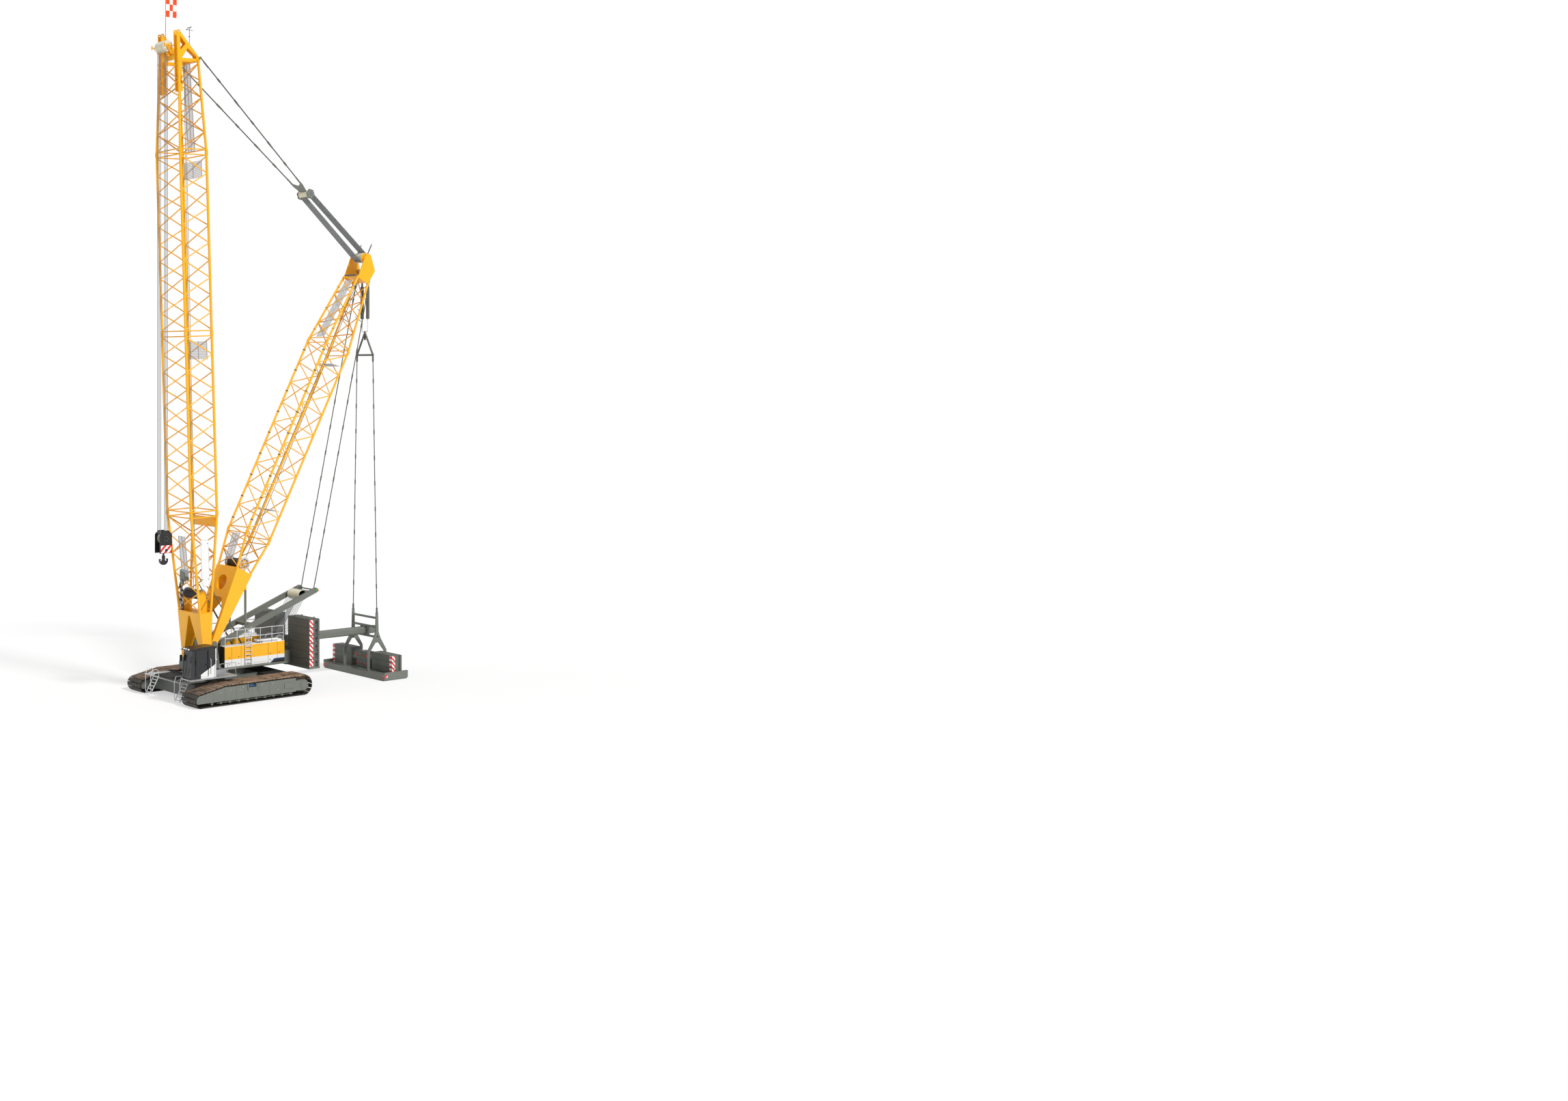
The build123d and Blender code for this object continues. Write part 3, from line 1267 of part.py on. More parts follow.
hook_neck_z = block_bottom + 60
hook_low_z = 4450
hook_bow_r = 165
hook_mouth_r = 62
hook_tip_r = 26
hook_half = 34
with BuildPart() as hook:
    with BuildSketch(Plane.XY.offset(hook_low_z + hook_bow_r + 35)):
        with Locations((0, hook_y)):
            RegularPolygon(32, pin_sides)
    extrude(amount=hook_neck_z - hook_low_z - hook_bow_r - 35)
    with BuildSketch(Plane.YZ.offset(-hook_half)):
        with Locations((hook_y, hook_low_z + hook_bow_r)):
            RegularPolygon(hook_bow_r, drum_sides, rotation=90)
            Rectangle(400, 400, align=(Align.CENTER, Align.MIN), mode=Mode.SUBTRACT)
        with Locations((hook_y, hook_low_z + hook_bow_r + 25)):
            Rectangle(90, 240)
        with Locations(*[(hook_y + sign * 100, hook_low_z + hook_bow_r + 25) for sign in (-1, 1)]):
            RegularPolygon(hook_mouth_r, pin_sides, mode=Mode.SUBTRACT)
        with Locations(*[(hook_y + sign * 140, hook_low_z + hook_bow_r + 15) for sign in (-1, 1)]):
            RegularPolygon(hook_tip_r, pin_sides)
    extrude(amount=2 * hook_half)
hook.part.label = "hook"
export_step(hook.part.moved(datum), "parts/hook.step")


# ==== suspended ballast ====
cylinder_top_z = 13885
cylinder_low_z = 12730
yoke_top_z = 12190
yoke_low_z = 11400
pendant_x = 160
ballast_lug_z = ballast_lug_centre.Z
lug_bore_r = derrick_lug_pin_r + seat_gap
with BuildPart() as ballast_pendants:
    for x in (-pendant_x, pendant_x):
        line = ((x, ballast_y, cylinder_top_z), (x, ballast_y, ballast_lug_z - 60))
        add(bars([line], 20, tube_sides))
        add(bars([((x, ballast_y, cylinder_low_z), (x, ballast_y, cylinder_top_z))], 62, pin_sides))
        add(bars([((x, ballast_y, yoke_top_z), (x, ballast_y, cylinder_low_z))], 32, pin_sides))
        with BuildSketch(Plane.YZ.offset(x - 15)):
            with Locations((ballast_y, ballast_lug_z)):
                RegularPolygon(75, pin_sides)
                RegularPolygon(lug_bore_r, pin_sides, major_radius=False, mode=Mode.SUBTRACT)
        extrude(amount=30)
    with BuildSketch(Plane.XZ.offset(-ballast_y - 20)):
        with BuildLine():
            Polyline(
                (-pendant_x - 70, yoke_top_z + 40),
                (pendant_x + 70, yoke_top_z + 40),
                (488, yoke_low_z + 120),
                (488, yoke_low_z),
                (440, yoke_low_z - 40),
                (0, yoke_low_z + 330),
                (-440, yoke_low_z - 40),
                (-488, yoke_low_z),
                (-488, yoke_low_z + 120),
                close=True,
            )
        make_face()
    extrude(amount=40)
    for sign in (-1, 1):
        rod = ((sign * 450, ballast_y, yoke_low_z + 20), (sign * carriage_x, ballast_y, carriage_eye_z + 40))
        add(bars([rod], 13, tube_sides))
        for share in (0.0, 0.3, 0.62, 0.965):
            add(bars([(point_between(rod, share), point_between(rod, share + 0.035))], 26, tube_sides))
        with Locations((sign * carriage_x, ballast_y, carriage_eye_z + 40)):
            Box(60, 80, 80)
ballast_pendants.part.label = "ballast_pendants"
export_step(ballast_pendants.part.moved(datum), "parts/ballast_pendants.step")

slabs_top = 850
with BuildPart() as ballast_carriage:
    for sign in (-1, 1):
        x = sign * carriage_x
        with BuildSketch(Plane.YZ.offset(x - 20)):
            with BuildLine():
                Polyline(
                    (ballast_y - 45, carriage_eye_z),
                    (ballast_y + 45, carriage_eye_z),
                    (ballast_y + 70, 1560),
                    (ballast_y + 160, 1330),
                    (ballast_y + 430, slabs_top + 50),
                    (ballast_y + 430, tray_height),
                    (ballast_y + 330, tray_height),
                    (ballast_y + 320, slabs_top + 20),
                    (ballast_y + 70, 1180),
                    (ballast_y - 70, 1180),
                    (ballast_y - 320, slabs_top + 20),
                    (ballast_y - 330, tray_height),
                    (ballast_y - 430, tray_height),
                    (ballast_y - 430, slabs_top + 50),
                    (ballast_y - 160, 1330),
                    (ballast_y - 70, 1560),
                    close=True,
                )
            make_face()
            with Locations((ballast_y, 1400)):
                RegularPolygon(60, 3, rotation=90, mode=Mode.SUBTRACT)
        extrude(amount=40)
    beam_half = carriage_x - 20
    collar_gap = 22
    collar_half_height = guide_height / 2 + collar_gap
    collar_half_width = guide_width / 2 + running_gap
    for z in (1550 + collar_half_height + 30, 1550 - collar_half_height - 30, 2050):
        with Locations((0, ballast_y, z)):
            Box(2 * beam_half, 100, 60)
    for sign in (-1, 1):
        with Locations((sign * (collar_half_width + 20), ballast_y, 1550)):
            Box(40, 100, 2 * collar_half_height + 60)
ballast_carriage.part.label = "ballast_carriage"
export_step(ballast_carriage.part.moved(datum), "parts/ballast_carriage.step")

tray_lip = 60
with BuildPart() as ballast_tray:
    with BuildSketch(Plane.XZ.offset(-ballast_y - tray_length / 2)):
        with BuildLine():
            Polyline(
                (-tray_half_width, tray_height + 90),
                (-tray_half_width, 60),
                (-tray_half_width + 90, 0),
                (tray_half_width - 90, 0),
                (tray_half_width, 60),
                (tray_half_width, tray_height + 90),
                (tray_half_width - tray_lip, tray_height + 90),
                (tray_half_width - tray_lip, tray_height),
                (-tray_half_width + tray_lip, tray_height),
                (-tray_half_width + tray_lip, tray_height + 90),
                close=True,
            )
        make_face()
    extrude(amount=tray_length)
ballast_tray.part.label = "ballast_tray"
export_step(ballast_tray.part.moved(datum), "parts/ballast_tray.step")

tray_stack_y = ballast_y + 75
tray_stack_length = 450
tray_stacks = (  # x from, x to, slabs, top of the stack
    (-1695, -575, 3, slabs_top),
    (-300, 300, 4, slabs_top - 80),
    (575, 1695, 3, slabs_top),
)
with BuildPart() as ballast_slabs:
    for low, high, slabs, stack_top in tray_stacks:
        pitch = (stack_top - tray_height) / slabs
        for slab in range(slabs):
            for inset, height in ((slab_groove, pitch), (0, pitch - slab_groove)):
                with BuildSketch(Plane.XY.offset(tray_height + slab * pitch)):
                    with Locations(((low + high) / 2, tray_stack_y)):
                        Rectangle(high - low - 2 * inset, tray_stack_length - 2 * inset)
                extrude(amount=height)
    recess_y = tray_stack_y + (recess_share - 0.5) * tray_stack_length
    with Locations(*[(x, recess_y, tray_height) for x in (tray_stacks[0][0], tray_stacks[-1][1])]):
        Box(2 * recess_depth, recess_width, slabs_top - tray_height, align=on_floor, mode=Mode.SUBTRACT)
ballast_slabs.part.label = "ballast_slabs"
export_step(ballast_slabs.part.moved(datum), "parts/ballast_slabs.step")

guide_end_y = ballast_y + 480
with BuildPart() as guide_beam:
    with BuildSketch(Plane.XZ.offset(-guide_pin_y + 120)):
        with Locations((0, guide_z)):
            Rectangle(guide_width, guide_height)
            chamfer(vertices(), 50)
    extrude(amount=-(guide_end_y - guide_pin_y + 120))
    bore_spans = both_sides(guide_width / 2 - 46, guide_width / 2 + 5)
    add(side_pins(bore_spans, guide_pivot, guide_pin_r + seat_gap, bore=True), mode=Mode.SUBTRACT)
guide_beam.part.label = "guide_beam"
export_step(guide_beam.part.moved(datum), "parts/guide_beam.step")


# ==== boom backstops on the upper carriage ====
backstop_x = 330
backstop_foot = (932, girder_top - 5)
backstop_head = (-600, 3664)
with BuildPart() as boom_backstops:
    for sign in (-1, 1):
        tube = ((sign * backstop_x, *backstop_foot), (sign * backstop_x, *backstop_head))
        add(bars([(tube[0], point_between(tube, 0.62))], 33, tube_sides))
        add(bars([tube], 20, tube_sides))
        with Locations((sign * (backstop_x + 55), backstop_foot[0], girder_top + 20)):
            Box(190, 160, 40)
    with Locations((0, 0, girder_top - 100)):
        Box(2000, 3000, 200, mode=Mode.SUBTRACT)
boom_backstops.part.label = "boom_backstops"
export_step(boom_backstops.part.moved(datum), "parts/boom_backstops.step")


# ==== mast, flag and wind sensor on the boom head ====
mast_x = (122 + 152) / 2
mast_y = head_sheave_centre.Y
mast_foot_z = head_sheave_centre.Z + 70
mast_top_z = mast_foot_z + 1600
flag_length = 430
flag_height = 640
flag_thickness = 6
with BuildPart() as head_mast:
    add(bars([((mast_x, mast_y, mast_foot_z), (mast_x, mast_y, mast_top_z))], 12, pin_sides))
head_mast.part.label = "head_mast"
export_step(head_mast.part.moved(datum), "parts/head_mast.step")

with BuildPart() as flag:
    with Locations((mast_x, mast_y + 12 + flag_length / 2, mast_top_z - 60 - flag_height / 2)):
        Box(flag_thickness, flag_length, flag_height)
flag.part.label = "flag"
export_step(flag.part.moved(datum), "parts/flag.step")
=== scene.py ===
import math

import bmesh
import bpy
from mathutils import Matrix, Vector


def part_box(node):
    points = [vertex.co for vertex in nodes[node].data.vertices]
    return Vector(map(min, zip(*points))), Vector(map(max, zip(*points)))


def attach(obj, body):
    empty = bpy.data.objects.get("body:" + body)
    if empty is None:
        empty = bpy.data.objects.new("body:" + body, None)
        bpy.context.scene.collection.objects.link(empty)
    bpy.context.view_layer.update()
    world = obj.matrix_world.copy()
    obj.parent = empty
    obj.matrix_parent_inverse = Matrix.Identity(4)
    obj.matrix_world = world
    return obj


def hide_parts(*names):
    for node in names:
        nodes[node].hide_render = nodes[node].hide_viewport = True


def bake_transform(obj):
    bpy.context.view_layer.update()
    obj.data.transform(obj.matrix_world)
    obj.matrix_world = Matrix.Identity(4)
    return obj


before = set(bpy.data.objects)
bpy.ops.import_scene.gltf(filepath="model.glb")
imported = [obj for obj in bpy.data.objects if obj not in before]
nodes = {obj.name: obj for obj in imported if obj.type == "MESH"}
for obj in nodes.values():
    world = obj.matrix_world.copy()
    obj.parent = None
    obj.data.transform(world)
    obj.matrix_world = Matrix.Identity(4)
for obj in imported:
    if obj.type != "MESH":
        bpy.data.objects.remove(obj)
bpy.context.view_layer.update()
bpy.context.scene.view_settings.view_transform = "Standard"
print("frame loaded:", len(nodes), "nodes")


# --- node trees and shader values
def addNode(tree, kind, inputs=None, **settings):
    made = tree.nodes.new(kind)
    for key, value in settings.items():
        setattr(made, key, value)
    for key, value in (inputs or {}).items():
        if isinstance(value, bpy.types.NodeSocket):
            tree.links.new(value, made.inputs[key])
        else:
            made.inputs[key].default_value = value
    return made


def linear(red, green, blue):
    # screen values from 0 to 255 turned into the shader's linear colour
    parts = [part / 255 for part in (red, green, blue)]
    return (*(part / 12.92 if part <= 0.04045 else ((part + 0.055) / 1.055) ** 2.4 for part in parts), 1.0)


def mixColour(tree, share, first, second):
    return addNode(tree, "ShaderNodeMix", {0: share, 6: first, 7: second}, data_type="RGBA").outputs[2]


def mathOf(tree, operation, first, second=0.0):
    return addNode(tree, "ShaderNodeMath", {0: first, 1: second}, operation=operation).outputs[0]


def rampOf(tree, value, low, high, toLow=0.0, toHigh=1.0):
    ends = {"Value": value, "From Min": low, "From Max": high, "To Min": toLow, "To Max": toHigh}
    return addNode(tree, "ShaderNodeMapRange", ends).outputs["Result"]


def noiseOf(tree, place, scale, detail=4.0, roughness=0.5):
    values = {"Vector": place, "Scale": scale, "Detail": detail, "Roughness": roughness}
    return addNode(tree, "ShaderNodeTexNoise", values).outputs["Fac"]


def placeOf(tree):
    return addNode(tree, "ShaderNodeTexCoord").outputs["Object"]


def axesOf(tree, place):
    return addNode(tree, "ShaderNodeSeparateXYZ", {0: place}).outputs


# --- finishes
paintLook = {
    "cloudScale": 1.1,  # broad tone changes
    "cloudDepth": 0.06,
    "dustScale": 4.5,  # patches of dust and handling marks
    "dustDepth": 0.12,
    "dust": linear(150, 140, 124),
    "roughness": 0.34,
    "metallic": 0.0,
    "coat": 0.12,
    "peelScale": 70.0,  # texture of the sprayed coat
    "peelDepth": 0.12,
}


def newMaterial(name):
    material = bpy.data.materials.new(name)
    material.use_nodes = True
    return material, material.node_tree, material.node_tree.nodes["Principled BSDF"]


def coat(tree, shader, colour, changes):
    look = {**paintLook, **changes}
    place = placeOf(tree)
    clouds = noiseOf(tree, place, look["cloudScale"], 5.0)
    dust = noiseOf(tree, place, look["dustScale"], 9.0, 0.7)
    tone = addNode(
        tree, "ShaderNodeHueSaturation", {"Color": colour, "Fac": rampOf(tree, clouds, 0.35, 0.7)}
    )
    tone.inputs["Value"].default_value = 1 - look["cloudDepth"]
    share = rampOf(tree, dust, 0.5, 0.78, 0.0, look["dustDepth"])
    tree.links.new(mixColour(tree, share, tone.outputs[0], look["dust"]), shader.inputs["Base Color"])
    rough = rampOf(tree, dust, 0.3, 0.8, look["roughness"], look["roughness"] + 0.22)
    tree.links.new(rough, shader.inputs["Roughness"])
    height = noiseOf(tree, place, look["peelScale"], 3.0)
    bump = addNode(
        tree, "ShaderNodeBump", {"Height": height, "Strength": look["peelDepth"], "Distance": 0.002}
    )
    tree.links.new(bump.outputs[0], shader.inputs["Normal"])
    shader.inputs["Metallic"].default_value = look["metallic"]
    shader.inputs["Coat Weight"].default_value = look["coat"]


def paint(name, colour, **changes):
    material, tree, shader = newMaterial(name)
    coat(tree, shader, colour, changes)
    return material


def stripePaint(name, first, second, direction, pitch, **changes):
    # slanting bands square to a direction, in the piece's own space
    material, tree, shader = newMaterial(name)
    along = addNode(tree, "ShaderNodeVectorMath", {0: placeOf(tree), 1: direction}, operation="DOT_PRODUCT")
    wave = mathOf(tree, "FRACT", mathOf(tree, "DIVIDE", along.outputs["Value"], pitch))
    coat(tree, shader, mixColour(tree, mathOf(tree, "GREATER_THAN", wave, 0.5), first, second), changes)
    return material


tones = {
    "yellow": linear(252, 181, 8),
    "white": linear(236, 236, 234),
    "steelGrey": linear(110, 114, 106),
    "weightGrey": linear(92, 95, 90),
    "black": linear(25, 25, 27),
    "grip": linear(33, 33, 35),
    "galvanised": linear(176, 179, 182),
    "cream": linear(222, 219, 196),
    "brown": linear(176, 148, 124),
    "darkSteel": linear(66, 62, 58),
    "red": linear(222, 32, 36),
    "blue": linear(22, 108, 186),
    "orange": linear(240, 78, 24),
}
steel = {"metallic": 0.55, "coat": 0.0, "cloudDepth": 0.2, "cloudScale": 6.0}
yellowCoat = {"dustDepth": 0.04, "cloudDepth": 0.05, "roughness": 0.28}
worn = {"dustDepth": 0.3, "cloudDepth": 0.14, "roughness": 0.46, "coat": 0.0}
finishes = {
    "yellow": paint("craneYellow", tones["yellow"], **yellowCoat),
    "white": paint("panelWhite", tones["white"], dustDepth=0.06),
    "steelGrey": paint("machineGrey", tones["steelGrey"], dustDepth=0.18, cloudDepth=0.1, roughness=0.42),
    "weightGrey": paint("weightGrey", tones["weightGrey"], peelDepth=0.35, peelScale=36.0, **worn),
    "black": paint("coverBlack", tones["black"], dustDepth=0.08),
    "grip": paint("deckGrip", tones["grip"], peelScale=48.0, peelDepth=0.9, **{**worn, "roughness": 0.8}),
    "galvanised": paint("railSteel", tones["galvanised"], **steel),
    "rope": paint("ropeSteel", linear(150, 153, 156), **{**steel, "cloudScale": 22.0, "roughness": 0.42}),
    "cream": paint("sheaveCream", tones["cream"], coat=0.0, roughness=0.5, cloudDepth=0.1),
    "drum": paint("drumSteel", linear(168, 171, 172), **{**steel, "metallic": 0.15}),
    "interior": paint("cabInterior", linear(42, 42, 46), coat=0.0, roughness=0.75, peelDepth=0.5),
    "engine": paint("engineGrey", linear(92, 94, 92), **worn),
    "blue": paint("hoseBlue", tones["blue"], roughness=0.4),
    "red": paint("strapRed", tones["red"], roughness=0.6, coat=0.0),
    "rubber": paint("hoseRubber", linear(22, 22, 23), coat=0.0, roughness=0.6),
    "lampGreen": paint("lampGreen", linear(20, 190, 70), roughness=0.2),
    "lampOrange": paint("lampOrange", linear(250, 120, 20), roughness=0.2),
    "lampClear": paint("lampClear", linear(225, 228, 232), roughness=0.1, metallic=0.3),
    "stripes": stripePaint(
        "stackStripes", tones["red"], tones["white"], (0.0, 0.8, 0.8), 0.13, dustDepth=0.05
    ),
    "blockStripes": stripePaint(
        "blockStripes", tones["red"], tones["white"], (0.0, 0.75, -0.75), 0.16, dustDepth=0.05
    ),
}


def darkGlass(name, colour):
    material, tree, shader = newMaterial(name)
    rough = rampOf(tree, noiseOf(tree, placeOf(tree), 6.0), 0.3, 0.7, 0.04, 0.13)
    tree.links.new(rough, shader.inputs["Roughness"])
    shader.inputs["Base Color"].default_value = colour
    shader.inputs["Transmission Weight"].default_value = 0.3
    return material


finishes["glass"] = darkGlass("cabGlass", linear(38, 40, 44))


# --- places that the pieces share
def middleOf(name):
    low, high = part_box(name)
    return (low + high) / 2


slewY = middleOf("car_body").y  # the slewing axis, from which the pieces below are placed
boomSet = {"pivot": (-0.920, 1.250), "lean": 2.02}
derrickSet = {"pivot": (-0.615, 1.778), "angle": 62.13}
suspensionSet = {"lug": (0.430, 19.990), "axle": (-0.177, 14.762)}


def fromSlew(x, y, z):
    return Vector((x, y + slewY, z))


def leaningPlace(pivotY, pivotZ, towards):
    # x stays across, z runs along the member and y towards its back
    along = Vector((0, *towards)).normalized()
    back = along.cross(Vector((1, 0, 0)))
    columns = Matrix((Vector((1, 0, 0)), back, along)).transposed().to_4x4()
    return Matrix.Translation(fromSlew(0, pivotY, pivotZ)) @ columns


lean, slope = math.radians(boomSet["lean"]), math.radians(derrickSet["angle"])
boomPlace = leaningPlace(*boomSet["pivot"], (-math.sin(lean), math.cos(lean)))
derrickPlace = leaningPlace(*derrickSet["pivot"], (math.cos(slope), math.sin(slope)))
slewPlace = Matrix.Translation((0, slewY, 0))
stayLug = boomPlace @ Vector((0, *suspensionSet["lug"]))
derrickAxle = derrickPlace @ Vector((0, *suspensionSet["axle"]))
stayRun = derrickAxle - stayLug
suspensionPlace = leaningPlace(stayLug.y - slewY, stayLug.z, (stayRun.y, stayRun.z))


# --- finishes that change over a piece
def housePaint():
    # yellow over white, a black front wall, and a black wedge with a blue edge at the lower rear
    look = {
        "split": 1.235,
        "roof": 1.664,
        "front": -0.38,
        "foot": (1.455, 0.935),
        "wedgeTop": 1.09,
        "slant": 1.33,
        "edge": 0.022,
    }
    material, tree, shader = newMaterial("housePanels")
    x, y, z = axesOf(tree, placeOf(tree))
    colour = mixColour(
        tree, mathOf(tree, "GREATER_THAN", z, look["split"]), tones["white"], tones["yellow"]
    )
    colour = mixColour(tree, mathOf(tree, "GREATER_THAN", z, look["roof"]), colour, tones["white"])
    for grow, tone in ((look["edge"], tones["blue"]), (0.0, tones["black"])):
        startY = look["foot"][0] + slewY - grow * 1.6
        behind = mathOf(tree, "SUBTRACT", y, mathOf(tree, "MULTIPLY", z, look["slant"]))
        limit = startY - look["foot"][1] * look["slant"]
        inside = mathOf(tree, "GREATER_THAN", behind, limit)
        under = mathOf(tree, "LESS_THAN", z, look["wedgeTop"] + grow)
        colour = mixColour(tree, mathOf(tree, "MULTIPLY", inside, under), colour, tone)
    frontWall = mathOf(tree, "LESS_THAN", y, look["front"] + slewY)
    coat(tree, shader, mixColour(tree, frontWall, colour, tones["black"]), {"dustDepth": 0.05})
    return material


finishes["housePaint"] = housePaint()


def trackPaint():
    # dark steel with brown dirt on the plates' upper side
    material, tree, shader = newMaterial("trackSteel")
    place = placeOf(tree)
    x, y, z = axesOf(tree, place)
    height = rampOf(tree, z, 0.40, 0.60)
    dirt = mathOf(tree, "MULTIPLY", height, rampOf(tree, noiseOf(tree, place, 3.2, 8.0, 0.65), 0.34, 0.56))
    colour = mixColour(tree, dirt, tones["darkSteel"], tones["brown"])
    coat(
        tree,
        shader,
        colour,
        {**steel, "metallic": 0.25, "roughness": 0.5, "dustDepth": 0.35, "peelDepth": 0.5},
    )
    return material


def cabPaint():
    # glossy black cover with a white lower wedge and a white rear pillar
    look = {"front": (-1.76, 1.015), "rear": (-1.215, 1.30), "roof": 1.80}
    material, tree, shader = newMaterial("cabCover")
    x, y, z = axesOf(tree, placeOf(tree))
    rise = (look["rear"][1] - look["front"][1]) / (look["rear"][0] - look["front"][0])
    level = look["front"][1] - rise * (look["front"][0] + slewY)
    line = addNode(tree, "ShaderNodeMath", {0: y, 1: rise, 2: level}, operation="MULTIPLY_ADD").outputs[0]
    wedge = mathOf(tree, "LESS_THAN", z, line)
    wedge = mathOf(
        tree, "MULTIPLY", wedge, mathOf(tree, "GREATER_THAN", y, look["front"][0] + slewY - 0.03)
    )
    pillar = mathOf(tree, "GREATER_THAN", y, look["rear"][0] + slewY - 0.01)
    pillar = mathOf(tree, "MULTIPLY", pillar, mathOf(tree, "LESS_THAN", z, look["roof"]))
    colour = mixColour(tree, mathOf(tree, "MAXIMUM", wedge, pillar), tones["black"], tones["white"])
    coat(tree, shader, colour, {"dustDepth": 0.04, "coat": 0.4, "roughness": 0.24})
    return material


def footPaint():
    # yellow, with the two upright props under the derrick in grey
    look = {"x": 0.470, "y": 0.750, "slack": 0.055, "top": 3.45}
    material, tree, shader = newMaterial("derrickFootPaint")
    x, y, z = axesOf(tree, placeOf(tree))
    across = mathOf(tree, "SUBTRACT", mathOf(tree, "ABSOLUTE", x), look["x"])
    share = mathOf(tree, "LESS_THAN", mathOf(tree, "ABSOLUTE", across), look["slack"])
    depth = mathOf(tree, "ABSOLUTE", mathOf(tree, "SUBTRACT", y, look["y"] + slewY))
    share = mathOf(tree, "MULTIPLY", share, mathOf(tree, "LESS_THAN", depth, look["slack"]))
    share = mathOf(tree, "MULTIPLY", share, mathOf(tree, "LESS_THAN", z, look["top"]))
    coat(tree, shader, mixColour(tree, share, tones["yellow"], tones["steelGrey"]), yellowCoat)
    return material


finishes["track"] = trackPaint()
finishes["cabPaint"] = cabPaint()
finishes["footPaint"] = footPaint()

# --- which finish each CAD node takes
nodeFinishes = {
    "yellow": "boom_foot boom_section_1 boom_section_2 boom_head derrick_middle derrick_head",
    "footPaint": "derrick_foot",
    "housePaint": "machine_house_left machine_house_right house_door_left house_door_right",
    "cabPaint": "cab_shell cab_door",
    "steelGrey": "turntable car_body crawler_frame_left crawler_frame_right a_frame guide_beam boom_backstops"
    " ballast_pendants ballast_carriage ballast_tray boom_stays derrick_stays",
    "weightGrey": "car_body_weights counterweight_left counterweight_right ballast_slabs",
    "grip": "car_body_decks",
    "track": "track_left track_right track_wheels_left track_wheels_right",
    "glass": "cab_glass cab_door_glass",
    "interior": "cab_seat",
    "engine": "engine",
    "galvanised": "house_rails head_mast cab_platform",
    "rope": "hoist_ropes_upper hoist_ropes_lower tackle_ropes a_frame_ropes",
    "drum": "rear_winch_drum boom_winch_drum derrick_winch_drum",
    "cream": "head_sheaves",
    "black": "hook_block hook",
    "orange": "flag",
}
finishes["ropeDark"] = paint(
    "ropeDark", linear(62, 62, 60), coat=0.0, roughness=0.5, cloudScale=30.0, cloudDepth=0.3
)
finishes["ropeGrey"] = paint(
    "ropeGrey", linear(138, 140, 142), coat=0.0, roughness=0.45, cloudScale=26.0, cloudDepth=0.45
)
finishes["railPaint"] = paint("railLight", linear(205, 208, 210), metallic=0.15, roughness=0.4, coat=0.0)
finishes["orange"] = paint("flagOrange", tones["orange"], coat=0.0, roughness=0.8)
for finish, names in nodeFinishes.items():
    for name in names.split():
        for slotOfNode in nodes[name].material_slots:
            slotOfNode.material = finishes[finish]
print("node finishes set")


# --- making pieces
def addBox(mesh, low, high, place=None):
    middle, size = (Vector(low) + Vector(high)) / 2, Vector(high) - Vector(low)
    turn = place or Matrix()
    bmesh.ops.create_cube(
        mesh, size=1.0, matrix=turn @ Matrix.Translation(middle) @ Matrix.Diagonal((*size, 1.0))
    )


def addPlate(mesh, outline, across, thickness, place=None):
    # a flat plate: outline points are (second, third) coordinates, thickness runs along x
    turn = place or Matrix()
    rims = [
        [mesh.verts.new(turn @ Vector((x, *point))) for point in outline]
        for x in (across, across + thickness)
    ]
    mesh.faces.new(rims[0][::-1])
    mesh.faces.new(rims[1])
    for index in range(len(outline)):
        after = (index + 1) % len(outline)
        mesh.faces.new((rims[0][index], rims[0][after], rims[1][after], rims[1][index]))


def addTurned(mesh, profile, place, steps=24):
    # a profile of (radius, along) points, closed on itself, turned round the z axis of place
    rows = []
    for step in range(steps):
        angle = math.tau * step / steps
        rows.append(
            [
                mesh.verts.new(place @ Vector((r * math.cos(angle), r * math.sin(angle), z)))
                for r, z in profile
            ]
        )
    for step in range(steps):
        near, far = rows[step], rows[(step + 1) % steps]
        for index in range(len(profile)):
            after = (index + 1) % len(profile)
            mesh.faces.new((near[index], far[index], far[after], near[after]))


def pieceFrom(mesh, name, finish, body, bevel=0.0, smooth=False):
    bmesh.ops.remove_doubles(mesh, verts=mesh.verts[:], dist=1e-6)
    bmesh.ops.recalc_face_normals(mesh, faces=mesh.faces[:])
    data = bpy.data.meshes.new(name)
    mesh.to_mesh(data)
    mesh.free()
    data.materials.append(finishes[finish])
    piece = bpy.data.objects.new(name, data)
    bpy.context.collection.objects.link(piece)
    if smooth:
        data.shade_smooth()
        data.set_sharp_from_angle(angle=math.radians(38))
    if bevel:
        edge = piece.modifiers.new("bevel", "BEVEL")
        edge.width, edge.segments, edge.limit_method = bevel, 2, "ANGLE"
    if body:
        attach(piece, body)
    return piece


# --- geometry trees
def newTree(name, inputs):
    tree = bpy.data.node_groups.new(name, "GeometryNodeTree")
    for inputName, kind in inputs:
        tree.interface.new_socket(inputName, in_out="INPUT", socket_type=kind)
    tree.interface.new_socket("Geometry", in_out="OUTPUT", socket_type="NodeSocketGeometry")
    return tree, tree.nodes.new("NodeGroupInput").outputs


def closeTree(tree, geometry, material):
    real = addNode(tree, "GeometryNodeRealizeInstances", {0: geometry}).outputs[0]
    painted = addNode(tree, "GeometryNodeSetMaterial", {"Geometry": real, "Material": material}).outputs[0]
    addNode(tree, "NodeGroupOutput", {0: painted})
    return tree


